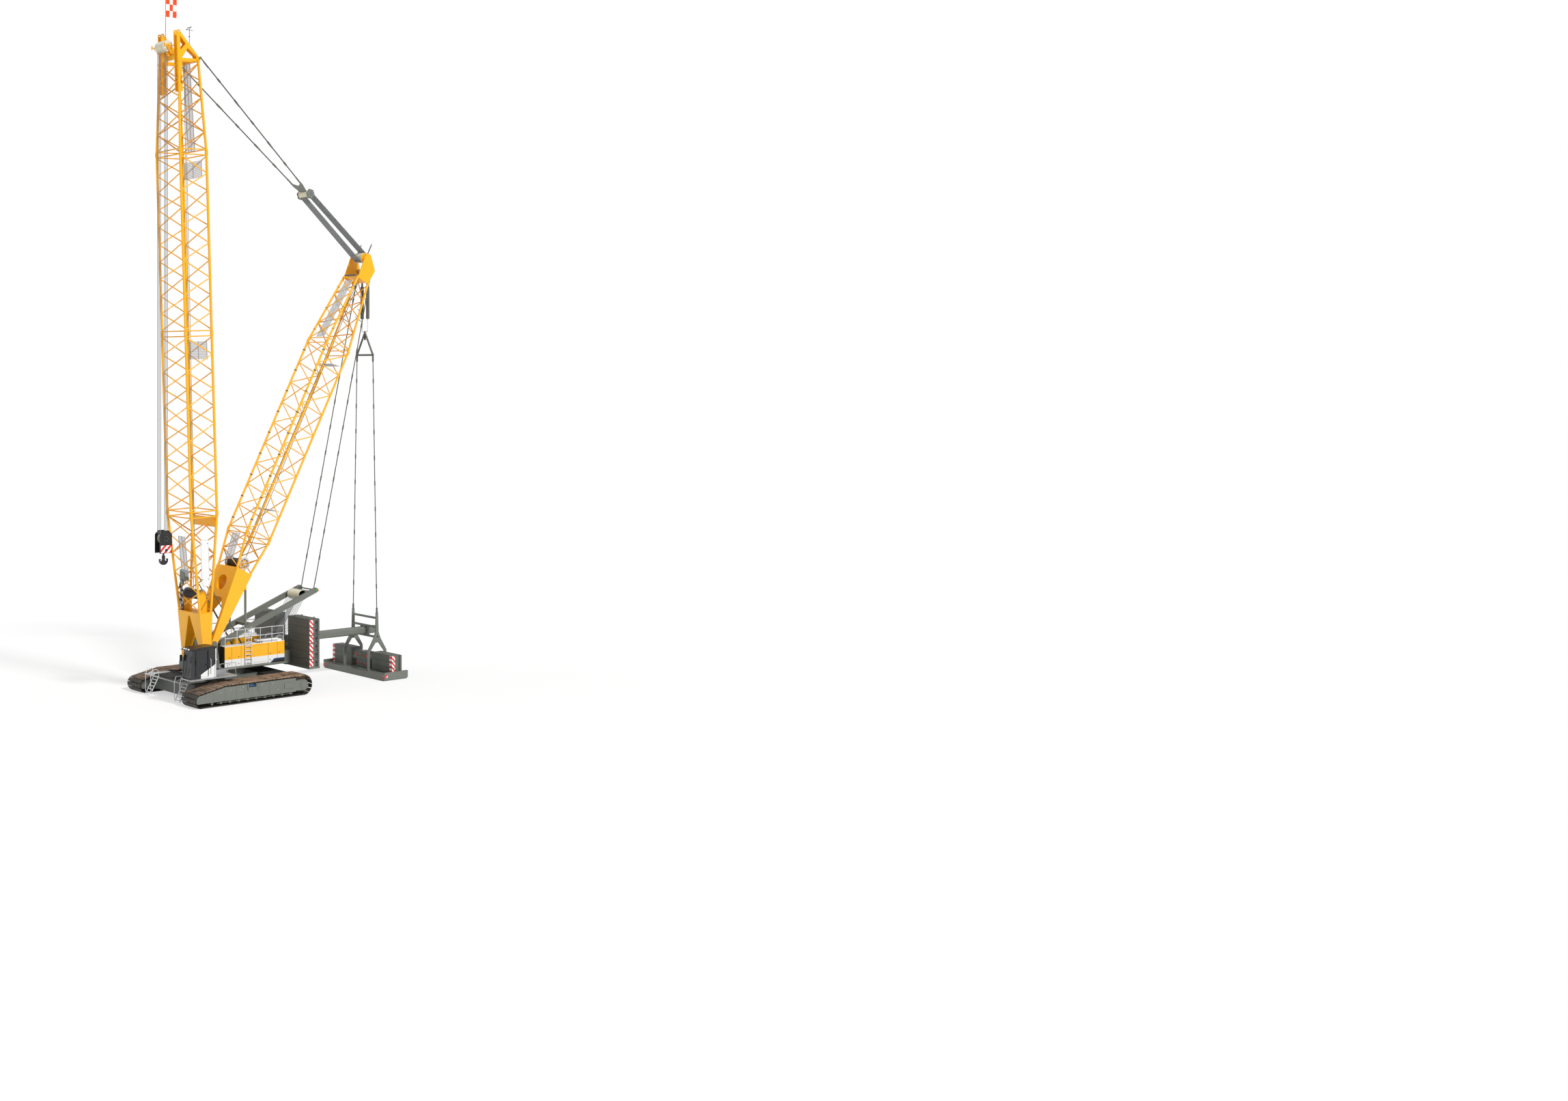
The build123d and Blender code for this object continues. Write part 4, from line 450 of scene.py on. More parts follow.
def roundTubesTree():
    kinds = (("Geometry", "Geometry"), ("Radius", "Float"), ("Sides", "Int"), ("Finish", "Material"))
    tree, given = newTree("roundTubes", [(name, f"NodeSocket{kind}") for name, kind in kinds])
    runs = addNode(tree, "GeometryNodeMeshToCurve", {"Mesh": given["Geometry"]}).outputs[0]
    ring = addNode(
        tree, "GeometryNodeCurvePrimitiveCircle", {"Resolution": given["Sides"], "Radius": given["Radius"]}
    )
    tubeInputs = {"Curve": runs, "Profile Curve": ring.outputs[0], "Fill Caps": True}
    tubes = addNode(tree, "GeometryNodeCurveToMesh", tubeInputs).outputs[0]
    return closeTree(tree, tubes, given["Finish"])


def unitsTree():
    # a unit at every point, turned by the points' own angles
    kinds = (("Geometry", "Geometry"), ("Unit", "Object"), ("Size", "Float"), ("Finish", "Material"))
    tree, given = newTree("unitsOnPoints", [(name, f"NodeSocket{kind}") for name, kind in kinds])
    unit = addNode(tree, "GeometryNodeObjectInfo", {"Object": given["Unit"]}).outputs["Geometry"]
    turn = addNode(
        tree, "GeometryNodeInputNamedAttribute", {"Name": "turn"}, data_type="FLOAT_VECTOR"
    ).outputs[0]
    angles = addNode(tree, "FunctionNodeEulerToRotation", {0: turn}).outputs[0]
    spots = {"Points": given["Geometry"], "Instance": unit, "Rotation": angles, "Scale": given["Size"]}
    units = addNode(tree, "GeometryNodeInstanceOnPoints", spots).outputs[0]
    return closeTree(tree, units, given["Finish"])


roundTubes, unitsOnPoints = roundTubesTree(), unitsTree()


def plainMesh(data, name, tree, values, place):
    # runs a tree on a mesh and gives a plain mesh with its place in it
    carrier = bpy.data.objects.new(name + "Carrier", data)
    bpy.context.collection.objects.link(carrier)
    modifier = carrier.modifiers.new("shape", "NODES")
    modifier.node_group = tree
    for item in tree.interface.items_tree:
        if item.in_out == "INPUT" and item.name in values:
            modifier[item.identifier] = values[item.name]
    result = bpy.data.meshes.new_from_object(carrier.evaluated_get(bpy.context.evaluated_depsgraph_get()))
    bpy.data.objects.remove(carrier)
    result.transform(place)
    return result


def pieceOf(data, name, body, smooth=True):
    piece = bpy.data.objects.new(name, data)
    data.name = name
    bpy.context.collection.objects.link(piece)
    if smooth:
        data.shade_smooth()
        data.set_sharp_from_angle(angle=math.radians(42))
    if body:
        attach(piece, body)
    return piece


def tubes(name, runs, radius, finish, body, place=slewPlace, sides=8, slot=None):
    # runs are lists of points, each made a round tube
    data = bpy.data.meshes.new(name)
    points = [point for run in runs for point in run]
    edges, first = [], 0
    for run in runs:
        edges += [(first + k, first + k + 1) for k in range(len(run) - 1)]
        first += len(run)
    data.from_pydata(points, edges, [])
    values = {"Radius": radius, "Sides": sides, "Finish": finishes[finish]}
    return pieceOf(plainMesh(data, name, roundTubes, values, place), name, body)


def units(name, unit, spots, finish, body, place=slewPlace, size=1.0, smooth=True, slot=None):
    # spots are (point, turn in degrees)
    data = bpy.data.meshes.new(name)
    data.from_pydata([spot[0] for spot in spots], [], [])
    turns = data.attributes.new("turn", "FLOAT_VECTOR", "POINT")
    for index, spot in enumerate(spots):
        turns.data[index].vector = [math.radians(part) for part in spot[1]]
    values = {"Unit": unit, "Size": size, "Finish": finishes[finish]}
    return pieceOf(plainMesh(data, name, unitsOnPoints, values, place), name, body, smooth)


def unitFrom(mesh, name):
    # a small shape that a tree repeats, which is not shown itself
    bmesh.ops.recalc_face_normals(mesh, faces=mesh.faces[:])
    data = bpy.data.meshes.new(name)
    mesh.to_mesh(data)
    mesh.free()
    return bpy.data.objects.new(name, data)


def boltUnit(radius, height):
    # a hexagon head on a washer, standing along z
    mesh = bmesh.new()
    for reach, low, high, sides in (
        (radius * 1.5, 0.0, height * 0.3, 12), (radius, height * 0.3, height, 6)
    ):
        addTurned(
            mesh,
            [(0.0, low), (reach, low), (reach, high * 0.96), (reach * 0.92, high), (0.0, high)],
            Matrix(),
            sides,
        )
    bmesh.ops.remove_doubles(mesh, verts=mesh.verts[:], dist=1e-6)
    return unitFrom(mesh, "bolt")


def boxUnit(name, size, bevel=0.0):
    mesh = bmesh.new()
    addBox(mesh, [-part / 2 for part in size], [part / 2 for part in size])
    if bevel:
        bmesh.ops.bevel(mesh, geom=mesh.edges[:], offset=bevel, segments=1, affect="EDGES")
    return unitFrom(mesh, name)


bolt = boltUnit(0.016, 0.014)
facing = {"+x": (0, 90, 0), "-x": (0, -90, 0), "+z": (0, 0, 0)}


def outward(sign):
    return facing["+x"] if sign > 0 else facing["-x"]


def sidePlace(sign, x, y, z, base=slewPlace):
    # a place on one side, with its z axis pointing outwards
    return base @ Matrix.Translation((x, y, z)) @ Matrix.Rotation(math.radians(90 * sign), 4, "Y")


def sideBox(mesh, sign, outs, ys, zs):
    # a box on one side, between two distances out from the middle
    near, far = sorted(sign * out for out in outs)
    addBox(mesh, (near, ys[0], zs[0]), (far, ys[1], zs[1]), slewPlace)


print("tools ready")


# --- lattices: round tubes over the frame's straight bars
boomLattice = {"chord": 0.0445, "lacing": 0.021, "sides": 10, "collar": 0.07}
derrickLattice = {"chord": 0.0385, "lacing": 0.0187, "sides": 10, "collar": 0.07}


def pointOn(run, share):
    return Vector(run[0]).lerp(Vector(run[1]), share)


def chordsOf(start, end):
    # four chords between two stations, each (along, half width, depth)
    corners = ((1, -1), (1, 1), (-1, 1), (-1, -1))
    ends = [
        [Vector((side * half, face * depth, along)) for along, half, depth in (start, end)]
        for side, face in corners
    ]
    return ends


def zigzag(chords, bays, inset, apart):
    # apart sets neighbouring faces a bay out of step, so that they cross in a side view
    runs = []
    for side in range(4):
        for bay in range(bays):
            near, far = chords[side], chords[(side + 1) % 4]
            if (bay if apart else bay + side) % 2:
                near, far = far, near
            shares = [inset + (1 - 2 * inset) * step / bays for step in (bay, bay + 1)]
            runs.append([pointOn(near, shares[0]), pointOn(far, shares[1])])
    return runs


def crossTubes(chords, share, faces=(0, 1, 2, 3)):
    corners = [pointOn(chord, share) for chord in chords]
    return [[corners[side], corners[(side + 1) % 4]] for side in faces]


def latticePieces(name, body, place, look, sections):
    chordRuns, laceRuns, collars = [], [], []
    for start, end, bays, inset, apart, rings in sections:
        chords = chordsOf(start, end)
        chordRuns += chords
        for setting in apart:
            laceRuns += zigzag(chords, bays, inset, setting)
        for share, faces in rings:
            laceRuns += crossTubes(chords, share, faces)
        for chord in chords:
            run = (chord[1] - chord[0]).length
            reach = look["collar"] / run
            collars += [
                [pointOn(chord, low), pointOn(chord, high)]
                for low, high in ((0.0, reach), (1 - reach, 1.0))
            ]
    pieces = [tubes(name + "Chords", chordRuns, look["chord"], "yellow", body, place, look["sides"] + 4)]
    pieces.append(tubes(name + "Lacing", laceRuns, look["lacing"], "yellow", body, place, look["sides"]))
    pieces.append(
        tubes(name + "Collars", collars, look["chord"] * 1.28, "yellow", body, place, look["sides"] + 2)
    )
    return pieces


allFaces = (0, 1, 2, 3)
boomStations = {
    "foot": (1.52, 0.63, 0.21),
    "first": (4.87, 0.725, 0.516),
    "second": (10.87, 0.725, 0.516),
    "third": (16.87, 0.725, 0.516),
    "top": (19.91, 0.60, 0.377),
}
endRings = ((0.015, allFaces), (0.985, allFaces))
boomPieces = latticePieces("boom", "boom", boomPlace, boomLattice, (
    (boomStations["foot"], boomStations["first"], 5, 0.03, (False, True), ((0.97, allFaces),)),
    (boomStations["first"], boomStations["second"], 10, 0.02, (True,), endRings),
    (boomStations["second"], boomStations["third"], 10, 0.02, (True,), endRings),
    (boomStations["third"], boomStations["top"], 5, 0.03, (False, True), ((0.03, allFaces),)),
))
derrickStations = {
    "foot": (2.58, 0.565, 0.29),
    "first": (3.909, 0.565, 0.506),
    "second": (11.262, 0.565, 0.506),
    "top": (13.972, 0.41, 0.25),
}
middleRings = [(0.015 + 0.97 * step / 9, allFaces if step in (0, 9) else (0, 2)) for step in range(10)]
derrickPieces = latticePieces("derrick", "derrick", derrickPlace, derrickLattice, (
    (derrickStations["foot"], derrickStations["first"], 2, 0.08, (False, True), ((0.94, allFaces),)),
    (derrickStations["first"], derrickStations["second"], 9, 0.015, (True,), middleRings),
    (derrickStations["second"], derrickStations["top"], 4, 0.04, (False, True), ((0.03, allFaces),)),
))
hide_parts("boom_section_1", "boom_section_2")
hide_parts("derrick_middle")
print("lattices made")

# --- ropes
ropeSet = {
    "radius": 0.0085,
    "hoist": {
        "xs": (-0.105, -0.035, 0.035, 0.105),
        "ys": (-2.389, -2.124),
        "top": 21.414,
        "middle": 9.5,
        "low": 5.486,
    },
    "tackle": {"xs": [-0.170 + 0.034 * k for k in range(11)], "edges": (0.150, 0.188), "start": 6.41},
    "aFrame": {
        "xs": [-0.28 + 0.08 * k for k in range(8)], "outs": (-0.13, 0.13), "start": 0.136, "clear": 0.26
    },
}
hoistSet = ropeSet["hoist"]
hoistSpots = [(x, y) for x in hoistSet["xs"] for y in hoistSet["ys"]]
for part, (high, low), bodies in (
    ("Upper", (hoistSet["top"], hoistSet["middle"]), ("hoist_fall", "hoist_follow")),
    ("Lower", (hoistSet["middle"], hoistSet["low"]), ("hoist_follow", "hook_block")),
):
    runs = [[(x, y, high), (x, y, low)] for x, y in hoistSpots]
    piece = tubes("hoistRopes" + part, runs, ropeSet["radius"], "rope", None)
    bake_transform(piece)
    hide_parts("hoist_ropes_" + part.lower())

tackleSet = ropeSet["tackle"]
tackleStops = (tackleSet["start"], stayRun.length)
runs = []
for x in tackleSet["xs"]:
    for side in (-1, 1):
        # from the yoke roller's edge to the derrick head sheaves' edge
        runs.append([(x, side * edge, along) for edge, along in zip(tackleSet["edges"], tackleStops)])
piece = tubes("tackleRopes", runs, ropeSet["radius"] * 1.3, "ropeGrey", None, suspensionPlace)
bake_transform(piece)
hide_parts("tackle_ropes")

aFrameSet = ropeSet["aFrame"]
roller, winch = Vector((0, 3.2747, 3.059)), Vector((0, 2.300, 1.560))
drop = winch - roller
dropPlace = leaningPlace(roller.y, roller.z, (drop.y, drop.z))
stops = (aFrameSet["start"], drop.length - aFrameSet["clear"])
runs = [[(x, out, along) for along in stops] for x in aFrameSet["xs"] for out in aFrameSet["outs"]]
piece = tubes("aFrameRopes", runs, ropeSet["radius"], "rope", None, dropPlace)
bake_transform(piece)
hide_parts("a_frame_ropes")
print("ropes made")

# --- slatted walkways inside the lattices
walkSet = {"slat": 0.011, "pitch": 0.032, "stile": 0.014, "finish": "walkGrey"}
finishes["walkGrey"] = paint(
    "walkGrey", linear(190, 192, 194), metallic=0.2, roughness=0.5, coat=0.0, dustDepth=0.2
)


def walkway(name, body, place, half, start, end):
    # a ladder-like deck from start to end, both (out, along), with slats between its stiles
    first, last = Vector((0, *start)), Vector((0, *end))
    run = last - first
    count = round(run.length / walkSet["pitch"])
    tilt = math.degrees(math.atan2(-run.y, run.z))
    spots = [(first + run * (step + 0.5) / count, (tilt, 0, 0)) for step in range(count)]
    slat = boxUnit(name + "Slat", (2 * half, 0.008, walkSet["slat"] * 1.6))
    units(name + "Slats", slat, spots, walkSet["finish"], body, place, smooth=False, slot="rail_steel")
    stiles = [[first + Vector((x, 0, 0)), last + Vector((x, 0, 0))] for x in (-half, 0, half)]
    tubes(name + "Stiles", stiles, walkSet["stile"], walkSet["finish"], body, place, slot="rail_steel")


walkway("boomFootWalk", "boom", boomPlace, 0.19, (-0.335, 2.77), (-0.45, 4.13))
walkway("derrickTopWalk", "derrick", derrickPlace, 0.20, (-0.475, 11.40), (-0.27, 13.80))
walkway("boomHeadWalk", "boom", boomPlace, 0.20, (0.40, 16.95), (0.30, 19.85))
walkway("boomJointDeckTop", "boom", boomPlace, 0.52, (0.44, 16.05), (0.44, 16.62))
walkway("boomJointDeckLow", "boom", boomPlace, 0.52, (0.44, 10.00), (0.44, 10.60))
walkway("derrickJointDeck", "derrick", derrickPlace, 0.46, (0.10, 10.62), (0.46, 10.70))
walkway("derrickPlatform", "derrick", derrickPlace, 0.46, (0.02, 4.95), (0.46, 5.05))
walkway("derrickLowWalk", "derrick", derrickPlace, 0.20, (-0.375, 2.872), (-0.50, 3.788))

# --- blank board on the near side of the boom foot
boardSet = {
    "half": 0.155, "low": 2.47, "high": 4.02, "x": 0.744, "thickness": 0.016, "round": 0.15, "back": 0.035
}
board = bmesh.new()
outline = [(boardSet["half"], boardSet["high"]), (-boardSet["half"], boardSet["high"])]
for step in range(13):
    angle = math.pi + math.pi * step / 12
    outline.append(
        (boardSet["half"] * math.cos(angle), boardSet["low"] + boardSet["round"] * (1 + math.sin(angle)))
    )
outline = [(out - boardSet["back"], along) for out, along in outline]
addPlate(board, outline, boardSet["x"], boardSet["thickness"], boomPlace)
pieceFrom(board, "nameBoard", "white", "boom", bevel=0.005)
boardFace = boardSet["x"] + boardSet["thickness"]
rims = [
    (boardFace, 0.9 * (out + boardSet["back"]) - boardSet["back"], along * 0.985 + 0.05)
    for out, along in outline
]
tubes("boardRim", [rims + rims[:1]], 0.004, "galvanised", "boom", boomPlace, sides=6)
corners = [(out - boardSet["back"], along) for out in (-0.11, 0.11) for along in (2.72, 3.9)]
spots = [((boardFace, *corner), facing["+x"]) for corner in corners]
units("boardBolts", bolt, spots, "galvanised", "boom", boomPlace, size=0.8)
print("walkways and board made")

# --- tracks: ribbed shoes on their chain, and what the frames carry
trackSet = {
    "circles": ((2.020, 0.345, 0.345), (-1.150, 0.560, 0.120), (-2.110, 0.250, 0.250)),
    "inset": 0.016,
    "pitch": 0.150,
    "sides": {"left": 1, "right": -1},
}


def loopSpots(circles, inset, pitch):
    # even steps along the belt, as (point, outward angle), from under the sprocket on
    leans, line = [], []
    for index, (y, z, radius) in enumerate(circles):
        nextY, nextZ, nextRadius = circles[(index + 1) % len(circles)]
        gap = Vector((nextY - y, nextZ - z))
        leans.append(math.atan2(gap.y, gap.x) - math.acos((radius - nextRadius) / gap.length))
    for index, (y, z, radius) in enumerate(circles):
        sweep = (leans[index] - leans[index - 1]) % math.tau
        for step in range(25):
            angle = leans[index - 1] + sweep * step / 24
            reach = radius - inset
            line.append((Vector((y + reach * math.cos(angle), z + reach * math.sin(angle))), angle))
    line.append(line[0])
    runs = [(after[0] - before[0]).length for before, after in zip(line, line[1:])]
    count, spots = round(sum(runs) / pitch), []
    for shoe in range(count):
        left, index = sum(runs) * shoe / count, 0
        while left > runs[index]:
            left, index = left - runs[index], index + 1
        share = left / max(runs[index], 1e-9)
        turn = (line[index + 1][1] - line[index][1] + math.pi) % math.tau - math.pi
        spots.append((line[index][0].lerp(line[index + 1][0], share), line[index][1] + share * turn))
    return spots


def shoeUnit():
    mesh = bmesh.new()
    section = [
        (-0.064, -0.016), (0.064, -0.016), (0.064, 0.004), (0.057, 0.009), (-0.057, 0.009), (-0.064, 0.004)
    ]
    addPlate(mesh, section, -0.4, 0.8)
    for y in (-0.045, 0.045):
        addPlate(
            mesh, [(y - 0.009, 0.008), (y + 0.009, 0.008), (y + 0.005, 0.016), (y - 0.005, 0.016)], -0.39,
            0.78,
        )
    for x in (-0.15, 0.10):
        addPlate(mesh, [(-0.078, -0.044), (0.078, -0.044), (0.078, -0.015), (-0.078, -0.015)], x, 0.05)
    for x in (-0.22, -0.07, 0.07, 0.22):
        for y in (-0.018, 0.018):
            addBox(mesh, (x - 0.009, y - 0.008, 0.008), (x + 0.009, y + 0.008, 0.0145))
    return unitFrom(mesh, "trackShoe")


hubProfile = [
    (0.0, 0.0), (0.182, 0.0), (0.182, 0.005), (0.150, 0.007), (0.146, 0.003), (0.118, 0.003),
    (0.112, 0.013), (0.0, 0.013),
]
frameSet = {
    "face": 2.085,  # the plate's outer side
    "widest": 2.089,
    "hub": (2.020, 0.345),
    "seams": ((-1.62, 0.14, 0.47), (-1.16, 0.12, 0.56), (-0.72, 0.12, 0.57), (-0.38, 0.12, 0.59))
    + tuple((y, 0.12, 0.59) for y in (0.20, 0.62, 1.12)),
    "bolts": (
        (-0.95, 0.50), (-0.55, 0.46), (-0.45, 0.53), (0.30, 0.53), (0.42, 0.40), (0.75, 0.52),
        (0.95, 0.30), (1.24, 0.46), (1.58, 0.46), (1.24, 0.31), (1.58, 0.31), (-1.35, 0.44),
    ),
}
shoe = shoeUnit()
shoeSpots = loopSpots(trackSet["circles"], trackSet["inset"], trackSet["pitch"])
for side, sign in trackSet["sides"].items():
    spots = [((sign * 1.7, spot.x, spot.y), (math.degrees(angle) - 90, 0, 0)) for spot, angle in shoeSpots]
    piece = units("trackShoes." + side, shoe, spots, "track", "undercarriage", smooth=False)
    for point in piece.data.vertices:
        point.co.z = max(point.co.z, 0.0)  # the loop's foot stays on the floor
    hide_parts("track_" + side)

    face = sign * frameSet["face"]
    outer = outward(sign)
    hub = bmesh.new()
    hubY, hubZ = frameSet["hub"]
    addTurned(hub, hubProfile, sidePlace(sign, face, hubY, hubZ), 36)
    pieceFrom(hub, "hubCover." + side, "steelGrey", "undercarriage", smooth=True)
    ring = [(0.166, math.tau * step / 16) for step in range(16)] + [
        (0.09, math.tau * step / 8) for step in range(8)
    ]
    spots = []
    for reach, angle in ring:
        out = min(frameSet["widest"], frameSet["face"] + (0.005 if reach > 0.1 else 0.012))
        spots.append(((sign * out, hubY + reach * math.cos(angle), hubZ + reach * math.sin(angle)), outer))
    units("hubBolts." + side, bolt, spots, "steelGrey", "undercarriage", size=0.65)

    seams = bmesh.new()
    for y, low, high in frameSet["seams"]:
        sideBox(
            seams, sign, (frameSet["face"], frameSet["face"] + 0.005), (y - 0.006, y + 0.006), (low, high)
        )
    for y, lean in ((-0.26, -0.05), (0.11, 0.05)):
        foot = y + lean * 0.2
        outline = [(y, 0.60), (foot, 0.36), (foot + 0.018, 0.36), (y + 0.018 + lean, 0.60)]
        addPlate(seams, outline, min(face, face + sign * 0.012), 0.012, slewPlace)
    sideBox(seams, sign, (frameSet["face"], frameSet["face"] + 0.008), (-1.5, 1.55), (0.112, 0.124))
    pieceFrom(seams, "frameSeams." + side, "steelGrey", "undercarriage", bevel=0.0015)
    spots = [((face, y, z), outer) for y, z in frameSet["bolts"]]
    units("frameBolts." + side, bolt, spots, "galvanised", "undercarriage", size=0.9)
    hoses = []
    for step in range(4):
        y, lift = -0.19 + 0.05 * step, 0.055 - 0.008 * step
        arch = [(k / 8, math.sin(math.pi * k / 8)) for k in range(9)]
        hoses.append(
            [(sign * (2.03 + 0.03 * rise), y + 0.13 * share, 0.515 + lift * rise) for share, rise in arch]
        )
    tubes("frameHoses." + side, hoses, 0.008, "blue", "undercarriage", sides=8)
    spots = [((sign * 2.0, y, 0.52), (90, 0, 0)) for y in (-0.20, -0.10, 0.0, 0.06)]
    units("hoseEnds." + side, bolt, spots, "galvanised", "undercarriage", size=1.1)
print("tracks made")

# --- decks and ladders on the car body
deckSet = {"half": 0.96, "front": -2.235, "base": 0.671}
grating = bmesh.new()
for sign in (-1, 1):
    corner = (-deckSet["half"], deckSet["front"], deckSet["base"])
    addBox(grating, corner, (deckSet["half"], -2.19, 0.684), slewPlace)
    corner = (sign * 1.11 - 0.13, deckSet["front"], deckSet["base"])
    addBox(grating, corner, (sign * 1.11 + 0.13, -1.30, 0.682), slewPlace)
pieceFrom(grating, "deckEdges", "walkGrey", "undercarriage", bevel=0.002)
rails = []
for x in (-0.9, 0.9):
    for side in (-0.165, 0.165):
        edge = x + side
        hoop = ((-2.265, 0.12), (-2.262, 0.70), (-2.20, 0.86), (-2.02, 0.86), (-1.96, 0.80), (-1.96, 0.672))
        rails.append([(edge, y, z) for y, z in hoop])
        rails.append([(edge, -2.255, 0.68), (edge, -1.97, 0.76)])
tubes("deckRails", rails, 0.012, "railPaint", "undercarriage", slot="rail_steel")
stileRuns = []
ladderSet = {"foot": (-2.26, 0.06), "head": (-1.922, 0.655), "half": 0.15, "rungs": 6}
for x in (-0.9, 0.9):
    foot, head = Vector((x, *ladderSet["foot"])), Vector((x, *ladderSet["head"]))
    across = Vector((ladderSet["half"], 0, 0))
    stileRuns += [[foot - across, head - across], [foot + across, head + across]]
    for rung in range(ladderSet["rungs"]):
        spot = foot.lerp(head, (rung + 0.5) / ladderSet["rungs"])
        stileRuns.append([spot - across, spot + across])
tubes("deckLadders", stileRuns, 0.0155, "railPaint", "undercarriage", slot="rail_steel")
print("decks and ladders made")

# --- house: roof hood with slots, panel joints, latches, rails and ladder
houseSet = {"joint": (0.9, 0.9025), "latch": (0.9, 0.914)}  # from the wall outwards
for side, sign in trackSet["sides"].items():
    trim = bmesh.new()
    for y in (-0.10, 0.28, 0.70, 1.40, 1.78):
        sideBox(trim, sign, houseSet["joint"], (y - 0.004, y + 0.004), (1.0, 1.66))
    sideBox(trim, sign, houseSet["joint"], (-0.37, 1.45), (0.978, 0.986))
    for y in (-0.2, 0.18, 0.55, 1.48, 1.86):
        for z in (1.30, 1.08):
            sideBox(trim, sign, houseSet["latch"], (y - 0.016, y + 0.016), (z - 0.010, z + 0.010))
    pieceFrom(trim, "houseJoints." + side, "black", "upper", bevel=0.001)

    hood = bmesh.new()
    low, high = sign * 0.622, sign * 0.856
    addPlate(
        hood,
        [(0.98, 1.735), (1.87, 1.735), (1.83, 1.79), (1.02, 1.79)],
        min(low, high),
        abs(high - low),
        slewPlace,
    )
    pieceFrom(hood, "roofHood." + side, "white", "upper", bevel=0.012)
    # black boxes stand for the roof slots' openings: painted shade where the hood's holes are
    slot = boxUnit("hoodSlot", (0.030, 0.022, 0.004), 0.004)
    grid = [(row, column) for row in range(5) for column in range(21)]
    spots = [
        ((sign * (0.65 + 0.045 * row), 1.06 + 0.036 * k + 0.012 * (row % 2), 1.7905), facing["+z"])
        for row, k in grid
    ]
    units("hoodSlots." + side, slot, spots, "black", "upper", smooth=False)
    grid = [(row, column) for row in range(3) for column in range(23)]
    spots = [
        ((sign * 0.8525, 1.05 + 0.034 * k + 0.014 * (row % 2), 1.690 + 0.018 * row), facing["+x"])
        for row, k in grid
    ]
    # the side slots are black boxes too, painted shade for the vent openings
    sideSlot = boxUnit("sideSlot", (0.010, 0.024, 0.004), 0.003)
    units("sideSlots." + side, sideSlot, spots, "black", "upper", smooth=False)

railSet = {
    "x": 0.870, "first": -0.346, "last": 2.050, "base": 1.675, "heights": (0.265, 0.515), "radius": 0.0125
}
for side, sign in trackSet["sides"].items():
    x = sign * railSet["x"]
    posts = [railSet["first"] + (railSet["last"] - railSet["first"]) * step / 5 for step in range(6)]
    runs = [[(x, y, railSet["base"]), (x, y, railSet["base"] + railSet["heights"][1])] for y in posts]
    runs += [
        [(x, y, railSet["base"] + lift) for y in (railSet["first"], railSet["last"])]
        for lift in railSet["heights"]
    ]
    tubes("roofRails." + side, runs, railSet["radius"], "railPaint", "upper", slot="rail_steel")
runs = [[(0.93, y, 0.975), (0.93, y, 2.21), (0.915, y, 2.25), (0.885, y, 2.25)] for y in (0.430, 0.685)]
runs += [[(0.93, 0.430, 1.06 + 0.14 * step), (0.93, 0.685, 1.06 + 0.14 * step)] for step in range(8)]
tubes("sideLadder", runs, 0.016, "railPaint", "upper", slot="rail_steel")
print("house dressed")

# --- cab: roof, wipers, grips, mirrors and lamps
cabSet = {"x": (1.085, 1.625)}
roof = bmesh.new()
outline = [
    (-2.235, 1.800), (-2.262, 1.835), (-2.15, 1.868), (-1.75, 1.890), (-1.30, 1.892), (-1.18, 1.876),
    (-1.17, 1.848), (-1.30, 1.842),
]
addPlate(roof, outline, cabSet["x"][0], cabSet["x"][1] - cabSet["x"][0], slewPlace)
pieceFrom(roof, "cabRoof", "black", "upper", bevel=0.008)
bars = [
    [(1.20, -2.215, 0.90), (1.20, -2.225, 1.30), (1.205, -2.190, 1.62)],
    [(1.33, -2.225, 0.905), (1.42, -2.222, 1.25)],
    [(1.24, -2.15, 1.89), (1.24, -2.15, 1.925), (1.46, -2.15, 1.925), (1.46, -2.15, 1.89)],
]
tubes("cabWipers", bars, 0.006, "rubber", "upper", sides=6)
grips = [[(1.604, -1.42, 1.00), (1.632, -1.42, 1.03), (1.632, -1.42, 1.46), (1.604, -1.42, 1.49)]]
grips += [[(1.66, -1.24, 0.84), (1.66, -1.24, 1.42), (1.64, -1.20, 1.46), (1.60, -1.16, 1.46)]]
tubes("cabGrips", grips, 0.010, "railPaint", "upper", slot="rail_steel")
doorTrim = bmesh.new()
for low, high in (
    ((1.622, -1.995, 0.945), (1.627, -1.980, 1.770)), ((1.622, -1.520, 0.945), (1.627, -1.505, 1.770)),
    ((1.622, -1.60, 1.30), (1.634, -1.54, 1.33)),
):
    addBox(doorTrim, low, high, slewPlace)
pieceFrom(doorTrim, "doorTrim", "rubber", "cab_door", bevel=0.0015)
lamps = bmesh.new()
for x, y, z in ((1.30, -2.24, 1.855), (1.42, -2.24, 1.855), (1.15, -2.24, 1.855), (1.57, -2.24, 1.855)):
    place = slewPlace @ Matrix.Translation((x, y, z)) @ Matrix.Rotation(math.radians(90), 4, "X")
    addTurned(
        lamps, [(0.0, -0.01), (0.028, -0.01), (0.034, 0.012), (0.030, 0.024), (0.024, 0.020), (0.0, 0.018)],
        place, 16,
    )
pieceFrom(lamps, "cabLamps", "lampClear", "upper", smooth=True)
mirrors = bmesh.new()
for x, y in ((1.655, -2.20), (1.06, -2.22)):
    addBox(mirrors, (x - 0.012, y - 0.045, 1.42), (x + 0.012, y + 0.045, 1.62), slewPlace)
pieceFrom(mirrors, "cabMirrors", "black", "upper", bevel=0.01)
arms = [
    [(1.60, -2.12, 1.66), (1.655, -2.20, 1.64), (1.655, -2.20, 1.60)],
    [(1.10, -2.12, 1.66), (1.06, -2.22, 1.64), (1.06, -2.22, 1.60)],
]
tubes("mirrorArms", arms, 0.007, "rubber", "upper", sides=6)
print("cab dressed")

